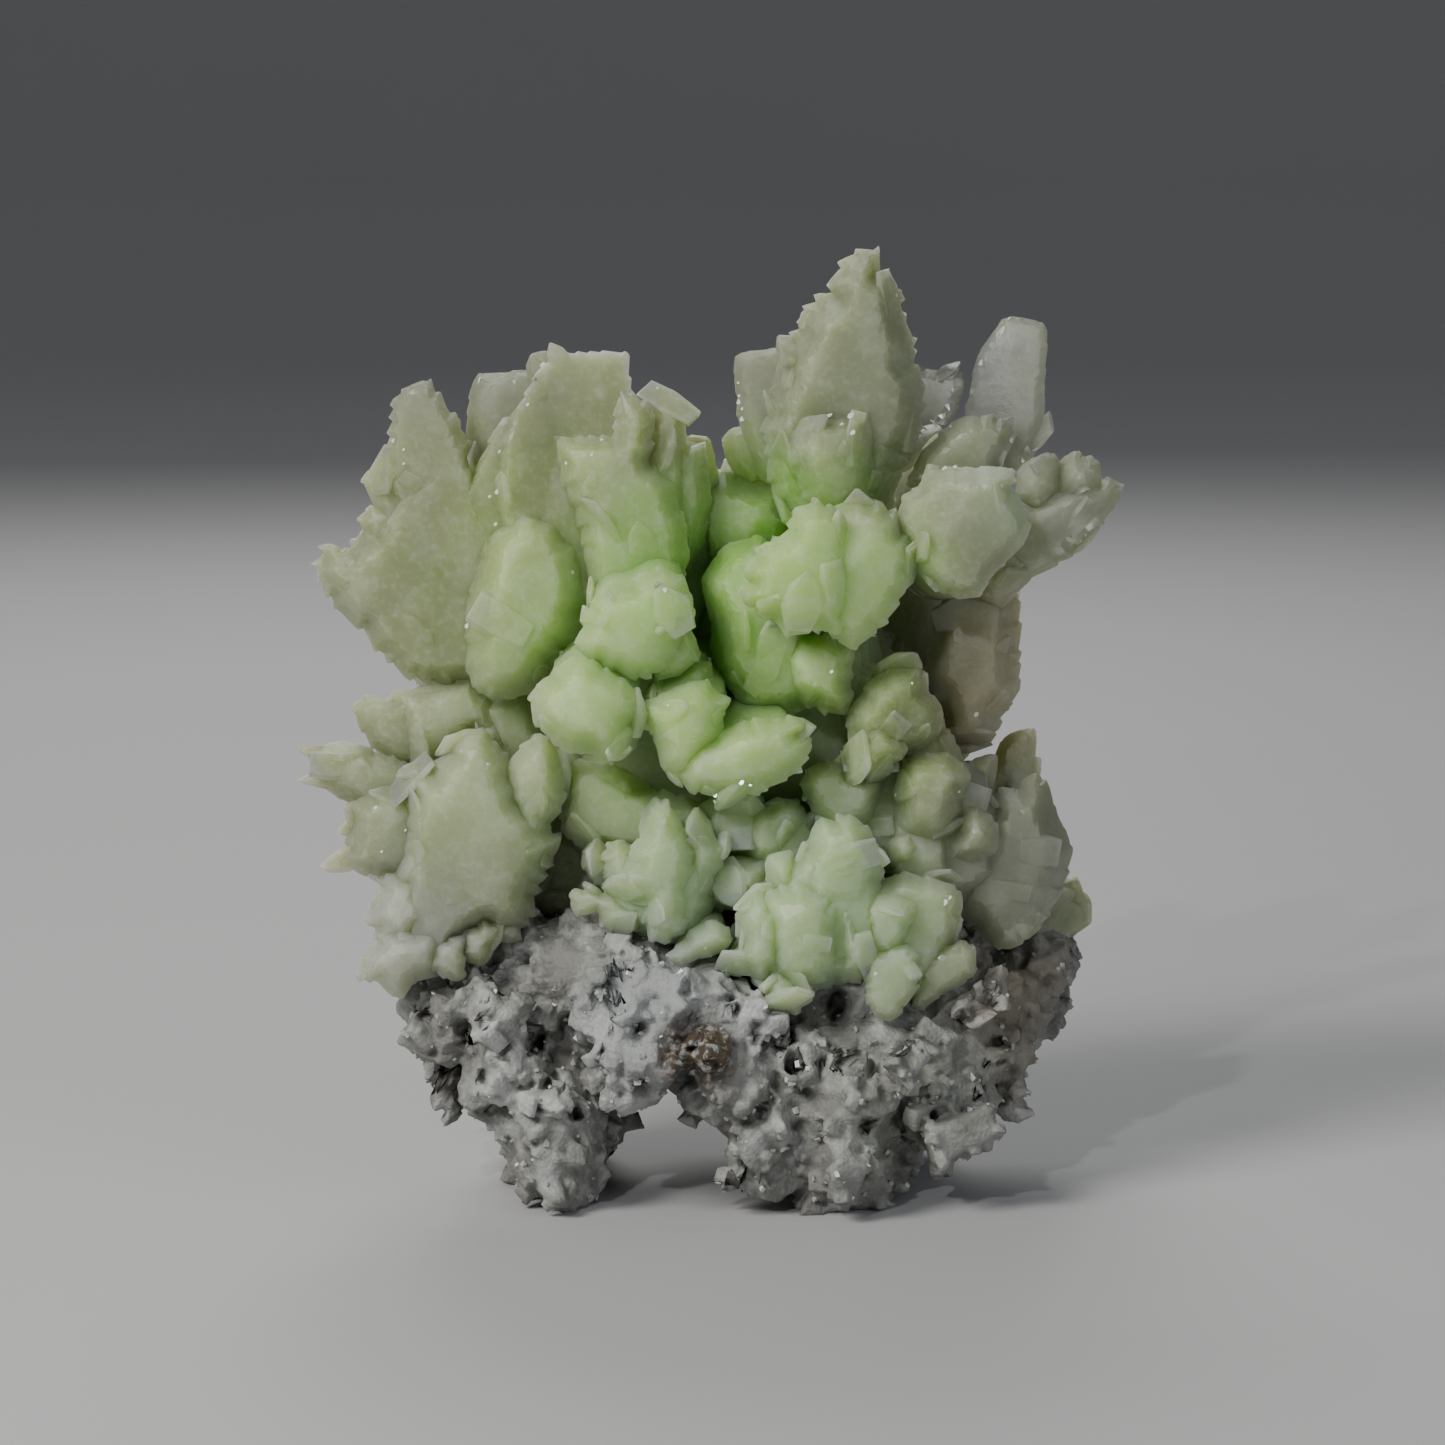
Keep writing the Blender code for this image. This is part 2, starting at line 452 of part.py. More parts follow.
def tunnel_mesh():
    """The way through under the rock, between its two ridges, with its upper corners cut off."""
    low, high = rock_place(TUNNEL_LOW), rock_place(TUNNEL_HIGH)
    outline = (
        (low.x, low.z),
        (high.x, low.z),
        (high.x, high.z - 2 * TUNNEL_CHAMFER),
        (high.x - TUNNEL_CHAMFER, high.z),
        (low.x + 2 * TUNNEL_CHAMFER, high.z),
        (low.x, high.z - TUNNEL_CHAMFER),
    )
    mesh = bmesh.new()
    face = mesh.faces.new([mesh.verts.new((x, low.y, z)) for x, z in outline])
    grown = bmesh.ops.extrude_face_region(mesh, geom=[face])
    moved = [v for v in grown["geom"] if isinstance(v, bmesh.types.BMVert)]
    bmesh.ops.translate(mesh, verts=moved, vec=(0, high.y - low.y, 0))
    return mesh


def ground_mesh():
    """A slab below the surface that the specimen stands on: it cuts the rock's feet flat."""
    mesh = bmesh.new()
    bmesh.ops.create_cube(mesh, size=1.0)
    bmesh.ops.scale(mesh, verts=mesh.verts, vec=(200, 200, 20))
    bmesh.ops.translate(mesh, verts=mesh.verts, vec=(0, 0, -10))
    return mesh


def make_rock(material):
    """The matrix: lumps grown into one, with pits, a tunnel and flat feet."""
    first, *others = rock_lumps()
    rock = object_of("matrix", first)
    combine(rock, "UNION", others)
    rng = random.Random(CRUST_SEED)
    pits = [
        angular_block(rng, rock_place(centre), (radius,) * 3, PIT_CORNERS) for centre, radius in ROCK_PITS
    ]
    combine(rock, "DIFFERENCE", [*pits, tunnel_mesh(), ground_mesh()])
    finish(rock, material)


def make_crystals(material):
    """All the barite: every crystal joined to the others, with room left for the rock under them."""
    first, *others = crystal_meshes()
    crystals = object_of("barite_crystals", first)
    combine(crystals, "UNION", others)
    combine(crystals, "DIFFERENCE", rock_lumps(grow=CONTACT_GAP))
    finish(crystals, material)


def main():
    clear_scene()
    make_rock(finish_material("matrix_rock", ROCK_COLOUR, 0.85))
    make_crystals(finish_material("barite", CRYSTAL_COLOUR, 0.35))


main()
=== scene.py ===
# %% [markdown]
# # A barite specimen on its matrix
# The object is a hand-sized mineral specimen: milky, pale green barite grown as bundles of flat crystals
# with saw-toothed edges, on a foot of grey, sparkling, pitted rock that collectors call the matrix.
# The plain solids come ready made from the CAD model. This script dresses them: it grows a finer crystal
# over each solid one, gives the rock a crust of little crystals, and paints both with nodes.

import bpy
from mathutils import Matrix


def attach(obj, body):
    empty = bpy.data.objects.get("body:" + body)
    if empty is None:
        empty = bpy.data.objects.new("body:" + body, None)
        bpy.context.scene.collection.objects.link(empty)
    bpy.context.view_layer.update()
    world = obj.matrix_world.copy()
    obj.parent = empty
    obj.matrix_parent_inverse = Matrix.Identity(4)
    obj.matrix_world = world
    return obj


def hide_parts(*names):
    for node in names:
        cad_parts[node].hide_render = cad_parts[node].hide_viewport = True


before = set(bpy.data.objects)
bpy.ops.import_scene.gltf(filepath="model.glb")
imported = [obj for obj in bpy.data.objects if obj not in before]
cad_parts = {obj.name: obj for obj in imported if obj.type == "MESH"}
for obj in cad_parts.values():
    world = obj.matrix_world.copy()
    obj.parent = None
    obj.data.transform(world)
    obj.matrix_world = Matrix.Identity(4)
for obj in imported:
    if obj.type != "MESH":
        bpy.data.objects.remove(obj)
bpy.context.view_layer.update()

# %% Libraries and units
import itertools
import math
import random

import bmesh
import bpy
import numpy as np
from mathutils import Vector
from mathutils.bvhtree import BVHTree
from mathutils.geometry import delaunay_2d_cdt

MM = 0.001
print("Lengths in the tables below are in millimetres, and each mesh is scaled to metres at its end")

# %% [markdown]
# ## The camera
# The photograph looks down on the specimen by about eight degrees from a hand's length or two away. A camera
# that sits on that line and looks at the middle of the specimen gives the same outline. The lens follows from
# the width that the frame has at the specimen, so it is worked out here and not guessed.

# %% Camera
VIEW_TILT = math.radians(8.0)
VIEW_DISTANCE = 320.0
VIEW_CENTRE = Vector((0.5, -4.05, 30.3))
FRAME_WIDTH = 92.48
SENSOR_WIDTH = 36.0

backwards = Vector((0, -math.cos(VIEW_TILT), math.sin(VIEW_TILT)))
camera_data = bpy.data.cameras.new("photo_camera")
camera_data.sensor_width = SENSOR_WIDTH
camera_data.lens = SENSOR_WIDTH * VIEW_DISTANCE / FRAME_WIDTH
camera_data.clip_start = 0.01
camera_data.clip_end = 50.0
camera = bpy.data.objects.new("photo_camera", camera_data)
camera.location = (VIEW_CENTRE + backwards * VIEW_DISTANCE) * MM
camera.rotation_euler = backwards.to_track_quat("Z", "Y").to_euler()
bpy.context.scene.collection.objects.link(camera)
bpy.context.scene.camera = camera
print("Lens in millimetres:", round(camera_data.lens, 1))

# %% [markdown]
# ## Node sums written as plain Python
# A material is a graph of nodes, and a graph typed node by node is hard to read. Here a small class wraps one
# output of a node. Adding or multiplying two of them adds the Math node for it, so a mask reads as the sum
# that it is. Every other kind of node comes from the one method `node`.


# %% A wrapped socket
class Wire:
    """One output of a node. Sums with it, or with plain numbers, become Math nodes."""

    def __init__(self, tree, output):
        self.tree = tree
        self.output = output

    def node(self, kind, settings=None, sockets=None, output=0):
        """Adds a node of that kind: first its settings, then the values or links of its sockets."""
        made = self.tree.nodes.new(kind)
        for name, value in (settings or {}).items():
            if name == "stops":
                set_stops(made.color_ramp, value)
            else:
                setattr(made, name, value)
        for name, value in (sockets or {}).items():
            if isinstance(value, Wire):
                self.tree.links.new(value.output, made.inputs[name])
            else:
                made.inputs[name].default_value = value
        return Wire(self.tree, made.outputs[output])

    def sum(self, operation, first, second, clamp=False):
        return self.node("ShaderNodeMath", {"operation": operation, "use_clamp": clamp}, {0: first, 1: second})

    def __add__(self, other):
        return self.sum("ADD", self, other)

    def __sub__(self, other):
        return self.sum("SUBTRACT", self, other)

    def __rsub__(self, other):
        return self.sum("SUBTRACT", other, self)

    def __mul__(self, other):
        return self.sum("MULTIPLY", self, other)

    def __truediv__(self, other):
        return self.sum("DIVIDE", self, other)

    __radd__ = __add__
    __rmul__ = __mul__

    def clamped(self):
        """The same value, kept from 0 to 1."""
        return self.sum("ADD", self, 0.0, clamp=True)

    def blend(self, low_colour, high_colour):
        """The first colour where this value is 0, the second where it is 1."""
        sockets = {"Factor": self, 6: low_colour, 7: high_colour}
        return self.node("ShaderNodeMix", {"data_type": "RGBA"}, sockets, output=2)


def set_stops(ramp, stops):
    """Gives a colour ramp its stops: (place, grey value or colour)."""
    while len(ramp.elements) > 1:
        ramp.elements.remove(ramp.elements[-1])
    for number, (place, value) in enumerate(stops):
        element = ramp.elements[0] if number == 0 else ramp.elements.new(place)
        element.position = place
        element.color = value if len(value) == 4 else (value[0],) * 3 + (1.0,)


def start_material(name):
    """An empty material, its output node, and a wire that gives each point's own place in metres."""
    material = bpy.data.materials.new(name)
    material.use_nodes = True
    tree = material.node_tree
    tree.nodes.clear()
    finish = tree.nodes.new("ShaderNodeOutputMaterial")
    place = tree.nodes.new("ShaderNodeTexCoord")
    return material, finish, Wire(tree, place.outputs["Object"])


print("Materials are written as sums of wires")

# %% [markdown]
# ## Floor and light
# The specimen stands on a plain pale floor. A wide soft lamp at the upper left does most of the work, as in
# the photograph, a weaker one fills the right-hand side, and one behind lets the crystals glow at their edges.
# A small bright lamp adds nothing to the shade, but each little crystal face that happens to mirror it sparkles.

# %% Floor, sky and lamps
FLOOR_COLOUR = (0.50, 0.50, 0.51, 1.0)
SKY_COLOUR = (0.80, 0.83, 0.88, 1.0)
SKY_STRENGTH = 0.15
# Each lamp: place in millimetres, side in millimetres, power in watts, colour.
LAMPS = {
    "key": ((-300.0, -260.0, 330.0), 170.0, 2.08, (1.0, 0.98, 0.93)),
    "fill": ((330.0, -260.0, 160.0), 260.0, 0.30, (0.92, 0.96, 1.0)),
    "back": ((-40.0, 330.0, 280.0), 240.0, 0.7, (1.0, 1.0, 0.97)),
    "spark": ((-120.0, -330.0, 240.0), 12.0, 0.35, (1.0, 1.0, 1.0)),
}


def aim_lamp(name, place, side, power, colour):
    """A square lamp that looks at the middle of the specimen."""
    data = bpy.data.lights.new(name, "AREA")
    data.size = side * MM
    data.energy = power
    data.color = colour
    lamp = bpy.data.objects.new(name, data)
    lamp.location = Vector(place) * MM
    lamp.rotation_euler = (Vector(place) - VIEW_CENTRE).to_track_quat("Z", "Y").to_euler()
    bpy.context.scene.collection.objects.link(lamp)


for lamp_name, lamp in LAMPS.items():
    aim_lamp(lamp_name, *lamp)

world = bpy.data.worlds.new("studio")
world.use_nodes = True
sky = world.node_tree.nodes["Background"]
sky.inputs["Color"].default_value = SKY_COLOUR
sky.inputs["Strength"].default_value = SKY_STRENGTH
bpy.context.scene.world = world

floor_material, floor_end, here = start_material("studio_floor")
grain = here.node("ShaderNodeTexNoise", {}, {"Vector": here, "Scale": 9.0, "Detail": 3.0})
floor_colour = grain.blend(FLOOR_COLOUR, tuple(0.94 * c for c in FLOOR_COLOUR[:3]) + (1.0,))
floor_shader = here.node("ShaderNodeBsdfPrincipled", {}, {"Base Color": floor_colour, "Roughness": 0.7})
here.tree.links.new(floor_shader.output, floor_end.inputs["Surface"])

# The floor is a round dish: level in the middle, and curved up at its rim, so that no horizon shows.
DISH = ((0.0, 0.0), (0.5, 0.0), (0.8, 0.0), (1.05, 0.03), (1.25, 0.12), (1.4, 0.28), (1.48, 0.5), (1.5, 0.9))
DISH_SIDES = 64
floor_mesh = bmesh.new()
centre = floor_mesh.verts.new((0.0, 0.0, 0.0))
rings = []
for radius, height in DISH[1:]:
    angles = [math.tau * k / DISH_SIDES for k in range(DISH_SIDES)]
    rings.append([floor_mesh.verts.new((radius * math.cos(a), radius * math.sin(a), height)) for a in angles])
for k in range(DISH_SIDES):
    after = (k + 1) % DISH_SIDES
    floor_mesh.faces.new((centre, rings[0][k], rings[0][after]))
    for inner, outer in zip(rings, rings[1:]):
        floor_mesh.faces.new((inner[k], outer[k], outer[after], inner[after]))
floor_data = bpy.data.meshes.new("studio_floor")
floor_mesh.to_mesh(floor_data)
floor_mesh.free()
floor_data.shade_smooth()
floor_data.materials.append(floor_material)
floor = bpy.data.objects.new("studio_floor", floor_data)
bpy.context.scene.collection.objects.link(floor)
print("Lamps:", ", ".join(LAMPS))

# %% [markdown]
# ## Where each crystal stands
# The crystals at the back and in the middle repeat rows of the CAD model. A row is a root and a tip as the
# front view shows them (across, depth, up), the width, the thickness, the outline, the way its broad face
# looks, and how much one corner of a chisel tip stands higher.

# %% Crystal tables
VIEW_CENTRE_READ = np.array((0.5, 0.0, 31.5))
VIEW_CENTRE_SOLID = np.array((0.5, 0.0, 30.3))
CENTRE_OF_FOOTPRINT = np.array((0.0, 4.05, 0.0))
FRONT = (0, -1, 0)
UP = (0, -0.3, 1)

UPPER_LEFT = (
    ((-3.4, 5.0, 33.0), (-1.0, 1.5, 49.8), 5.0, 4.0, "lens", FRONT, 0.0),
    ((-10.0, 6.0, 30.0), (-15.5, 12.5, 48.0), 8.4, 5.4, "flame", (-0.4, 1, 0), 0.0),
    ((-7.0, 6.0, 28.0), (-6.0, 13.0, 51.0), 8.0, 5.6, "chisel", (0, 1, 0), -0.10),
    ((-9.0, 6.0, 28.0), (-20.0, 12.0, 39.0), 8.0, 5.8, "flame", (-0.5, 1, 0), 0.0),
    ((-6.0, 7.0, 26.0), (-10.0, 17.0, 38.0), 8.4, 7.2, "bud", UP, 0.0),
)
UPPER_RIGHT = (
    ((1.0, 7.0, 30.0), (0.8, 4.6, 47.6), 7.4, 6.0, "lens", FRONT, 0.0),
    ((6.0, 7.0, 30.0), (5.0, 13.0, 54.0), 8.4, 5.6, "flame", (0, 1, 0), 0.0),
    ((9.0, 7.0, 30.0), (14.5, 13.0, 50.0), 7.6, 5.0, "chisel", (0.3, 1, 0), 0.16),
    ((11.0, 7.0, 27.0), (18.4, 13.0, 40.0), 8.0, 5.6, "flame", (0.5, 1, 0), 0.0),
    ((6.0, 8.0, 24.0), (9.5, 18.5, 38.0), 9.2, 7.8, "bud", UP, 0.0),
    ((1.5, 8.0, 22.0), (-1.0, 17.5, 29.0), 8.6, 7.2, "bud", UP, 0.0),
)
MIDDLE_RIGHT = (
    ((13.0, 9.0, 19.0), (24.0, 13.0, 19.4), 6.8, 6.0, "lens", FRONT, 0.0),
    ((12.0, 9.0, 20.0), (18.5, 17.0, 27.0), 8.0, 6.4, "bud", UP, 0.0),
    ((4.0, 9.0, 20.0), (7.0, 19.0, 23.0), 7.0, 6.0, "bud", UP, 0.0),
)
LOWER_FRONT = (
    ((0.5, 5.0, 20.0), (1.6, -4.4, 27.0), 6.4, 5.4, "lens", FRONT, 0.0),
    ((-4.0, 5.0, 20.0), (-7.4, -3.6, 28.4), 6.8, 5.4, "lens", FRONT, 0.0),
    ((3.0, 5.0, 20.0), (4.6, -4.2, 23.8), 6.0, 5.2, "bud", FRONT, 0.0),
)
LOWER_LEFT = (
    ((-13.0, 5.0, 20.0), (-21.0, 10.0, 25.0), 7.8, 6.0, "flame", (-0.5, 1, 0), 0.0),
    ((-10.0, 7.0, 20.0), (-13.0, 15.5, 25.0), 8.4, 7.0, "bud", UP, 0.0),
)
HEART = (
    ((-2.0, 6.0, 19.0), (-6.0, 5.0, 40.0), 12.0, 12.0, "lens", FRONT, 0.0),
    ((4.0, 6.0, 19.0), (7.0, 5.0, 42.0), 12.0, 12.0, "lens", FRONT, 0.0),
    ((0.0, 6.0, 21.0), (-15.0, 3.0, 22.0), 9.0, 9.0, "bud", FRONT, 0.0),
    ((0.0, 6.0, 21.0), (15.0, 5.0, 22.0), 9.0, 9.0, "bud", FRONT, 0.0),
)
BACK_CRYSTALS = sum(len(rows) for rows in (UPPER_LEFT, UPPER_RIGHT, MIDDLE_RIGHT, LOWER_FRONT, LOWER_LEFT, HEART))
print("Crystals in the tables:", BACK_CRYSTALS)

# %% [markdown]
# ## The crystals that the photograph shows
# From the front the specimen is a crowd of flat masses and blunt knobs, each with an outline of its own. The
# tables give those outlines as places in the photograph's frame, across and down, in steps of 0.064 mm at the
# specimen. A blade has the depth of its middle at its lower and upper end, its thickness and the size of the
# teeth on its edge. A knob points at the viewer, so it has a root as well: a place in the frame and a depth.

# %% Blades and knobs of the upper left spray
FRAME_STEP = 0.064
FRAME_MIDDLE, FRAME_FOOT = 715, 1215

BLADES_UPPER_LEFT = {
    "body_of_upper_left": (
        -0.7, -1.5, 4.8, 0.10, "372,560 400,500 440,470 470,480 500,420 560,400 630,430 682,500 662,590 560,660 "
        "470,672 410,650 380,610"
    ),
    "left_lobe": (
        -0.6, 0.4, 6.0, 0.22, "349,550 339,545 330,544 320,548 320,558 313,567 321,578 320,585 324,595 333,601 "
        "335,609 348,620 361,630 372,642 378,653 384,654 391,666 405,676 419,681 450,686 500,670 530,620 "
        "520,550 470,500 410,500 370,530"
    ),
    "upper_tooth": (1.2, 0.2, 3.2, 0.10, "389,453 381,460 367,472 362,481 370,497 385,530 440,570 470,530 440,470 405,450"),
    "lower_tooth": (1.6, 0.8, 3.0, 0.10, "371,505 357,519 363,531 352,548 400,600 450,580 410,510"),
    "left_spike": (
        0.5, -1.0, 4.6, 0.14, "389,453 389,440 390,421 394,399 400,392 422,380 430,380 438,392 449,408 458,415 "
        "461,430 466,434 485,480 505,560 500,620 470,630 430,590 405,530 385,480"
    ),
    "left_blade": (2.2, 1.6, 3.8, 0.06, "466,431 469,401 473,380 480,375 523,370 545,372 560,450 540,540 500,540 475,480"),
    "notch_tooth": (1.0, 0.4, 2.0, 0.0, "526,366 531,354 543,351 556,352 562,400 535,420"),
    "square_blade": (
        -0.5, -2.2, 5.4, 0.10, "540,370 556,353 601,352 623,352 629,355 630,368 631,387 640,470 630,570 590,620 "
        "540,620 500,560 488,500 500,440 512,415 527,392"
    ),
    "step_of_square_blade": (
        -2.0, -2.8, 5.4, 0.14, "556,438 585,436 612,437 619,396 630,389 639,398 653,405 655,430 650,460 672,480 "
        "686,520 690,560 675,610 620,620 590,590 580,530 562,480"
    ),
    "leaf": (
        0.0, -1.6, 3.6, 0.06, "645,480 649,430 653,406 661,398 667,394 676,400 684,411 686,421 687,440 692,490 "
        "680,560 655,560"
    ),
    "shoulder": (
        1.0, -0.4, 4.0, 0.06, "680,441 699,443 706,448 708,459 709,467 712,500 706,540 690,575 668,570 662,500 665,455"
    ),
    "olive_belly": (
        -2.4, -0.6, 8.0, 0.14, "465,667 475,690 492,700 508,700 528,695 550,675 580,640 590,600 585,550 560,510 "
        "520,495 480,530 462,600 460,640"
    ),
    "flange_of_upper_knob": (-5.6, -5.6, 2.0, 0.0, "655,645 690,628 697,640 696,662 680,676 655,682"),
}
KNOBS_UPPER_LEFT = {
    "upper_knob": (
        (640, 540, 3.0), -6.6, -6.6, 4.8, 0.16, "584,612 594,600 601,590 610,586 621,586 632,583 640,574 653,569 "
        "659,566 672,571 684,576 689,588 694,602 696,615 690,626 685,632 681,647 671,662 659,674 646,680 629,678 "
        "617,673 604,668 600,663 585,656 575,650 580,632"
    ),
    "left_knob": (
        (630, 610, 3.0), -7.4, -7.0, 5.0, 0.12, "544,679 556,671 565,659 585,655 600,664 612,672 625,679 633,687 "
        "640,699 638,713 633,726 626,745 619,758 612,766 604,762 591,755 578,753 568,754 560,750 550,738 540,732 "
        "534,721 530,708 528,698 536,687"
    ),
}

# %% Blades and knobs of the upper right spray
BLADES_UPPER_RIGHT = {
    "tall_spike": (
        0.8, -0.6, 7.6, 0.22, "780,343 791,341 790,333 798,329 802,314 807,307 814,299 822,293 829,291 831,282 "
        "836,269 840,262 852,253 861,250 870,248 876,247 880,258 885,269 892,277 901,286 901,293 906,300 901,304 "
        "904,312 906,323 913,332 917,338 915,347 915,363 925,380 925,410 919,433 908,460 899,480 893,510 860,540 "
        "800,530 770,490 762,433 766,415 768,397 778,379"
    ),
    "step_of_tall_spike": (-1.8, -2.2, 5.0, 0.10, "800,417 822,414 843,414 868,412 878,440 872,500 840,525 805,505 788,450"),
    "left_flat_blade": (
        2.4, 2.4, 3.0, 0.04, "790,343 780,343 777,348 764,350 742,352 735,357 734,379 737,397 737,417 740,426 "
        "760,480 790,500 805,420"
    ),
    "right_flat_blade": (
        3.4, 3.4, 3.0, 0.06, "905,362 922,367 929,370 960,370 964,374 964,388 959,408 949,424 931,438 910,470 "
        "890,480 890,400"
    ),
    "low_flat_blade": (3.6, 3.6, 2.4, 0.04, "750,425 740,427 730,429 722,439 724,453 732,471 750,490 775,480 770,435"),
    "glass_blade": (
        4.2, 4.6, 2.8, 0.04, "1003,319 1012,317 1022,318 1036,320 1044,324 1048,331 1048,345 1046,365 1045,390 "
        "1045,412 1041,435 1035,455 1020,485 985,485 965,445 965,408 970,395 973,372 978,355 990,337"
    ),
    "back_step": (
        1.6, 0.8, 4.0, 0.10, "940,432 948,425 957,420 965,416 975,416 985,417 993,413 997,418 1002,421 1010,423 "
        "1013,430 1011,445 1005,460 1005,490 940,500 905,485 920,455"
    ),
    "left_scallop": (-0.2, -0.4, 3.4, 0.05, "1018,472 1025,463 1033,457 1040,456 1048,452 1056,454 1060,462 1060,490 1040,510 1015,500"),
    "right_scallop": (
        0.6, 0.4, 3.2, 0.05, "1058,464 1065,456 1073,452 1080,451 1085,458 1092,455 1100,463 1102,475 1100,495 "
        "1070,510 1050,490"
    ),
    "right_fan": (
        1.4, 0.8, 4.2, 0.10, "1030,500 1050,484 1062,481 1080,480 1100,480 1105,477 1112,480 1125,485 1120,500 "
        "1110,513 1103,525 1092,531 1090,538 1080,547 1070,558 1058,565 1045,572 1030,580 1020,592 1000,612 "
        "965,600 985,540"
    ),
    "brown_blade": (
        2.6, 3.6, 6.4, 0.10, "1020,592 1021,640 1020,690 1012,705 1003,715 1000,730 985,748 950,750 938,702 "
        "925,681 926,660 930,640 937,617 945,590 980,570"
    ),
    "green_heart": (
        -2.2, -0.6, 7.0, 0.08, "712,560 703,577 702,589 707,609 712,628 710,647 712,662 719,681 733,694 742,713 "
        "756,717 790,716 815,706 820,640 800,560 760,535 725,545"
    ),
    "deep_green": (3.0, 3.4, 6.0, 0.08, "684,520 680,478 700,470 731,472 745,478 782,483 805,520 790,570 740,575 700,565"),
    "gap_blade": (
        -3.4, -3.0, 4.4, 0.16, "784,641 800,634 830,634 857,650 852,666 855,675 851,681 854,696 849,715 825,714 "
        "808,707 787,696 778,665"
    ),
}
KNOBS_UPPER_RIGHT = {
    "big_knob_left": (
        (850, 560, 4.0), -7.0, -7.0, 4.8, 0.20, "740,592 748,579 745,568 750,558 757,549 767,541 780,538 787,526 "
        "791,517 796,508 806,504 817,498 823,502 834,507 850,520 855,600 838,640 829,632 810,633 799,635 787,638 "
        "780,628 770,619 760,617 748,606"
    ),
    "big_knob_right": (
        (870, 560, 4.0), -5.6, -5.6, 5.0, 0.20, "820,512 834,507 843,502 859,500 872,503 883,503 893,510 902,527 "
        "912,542 917,557 910,577 906,594 895,611 885,626 872,636 859,647 851,648 838,645 825,630 815,560"
    ),
    "hexagon": (
        (930, 560, 5.0), -5.0, -5.0, 4.6, 0.08, "903,495 918,487 922,477 932,470 950,467 975,468 990,467 1008,467 "
        "1016,472 1012,486 1020,498 1027,512 1031,526 1027,541 1018,551 1008,561 997,571 990,582 980,597 962,600 "
        "940,592 920,575 905,545 896,520"
    ),
}

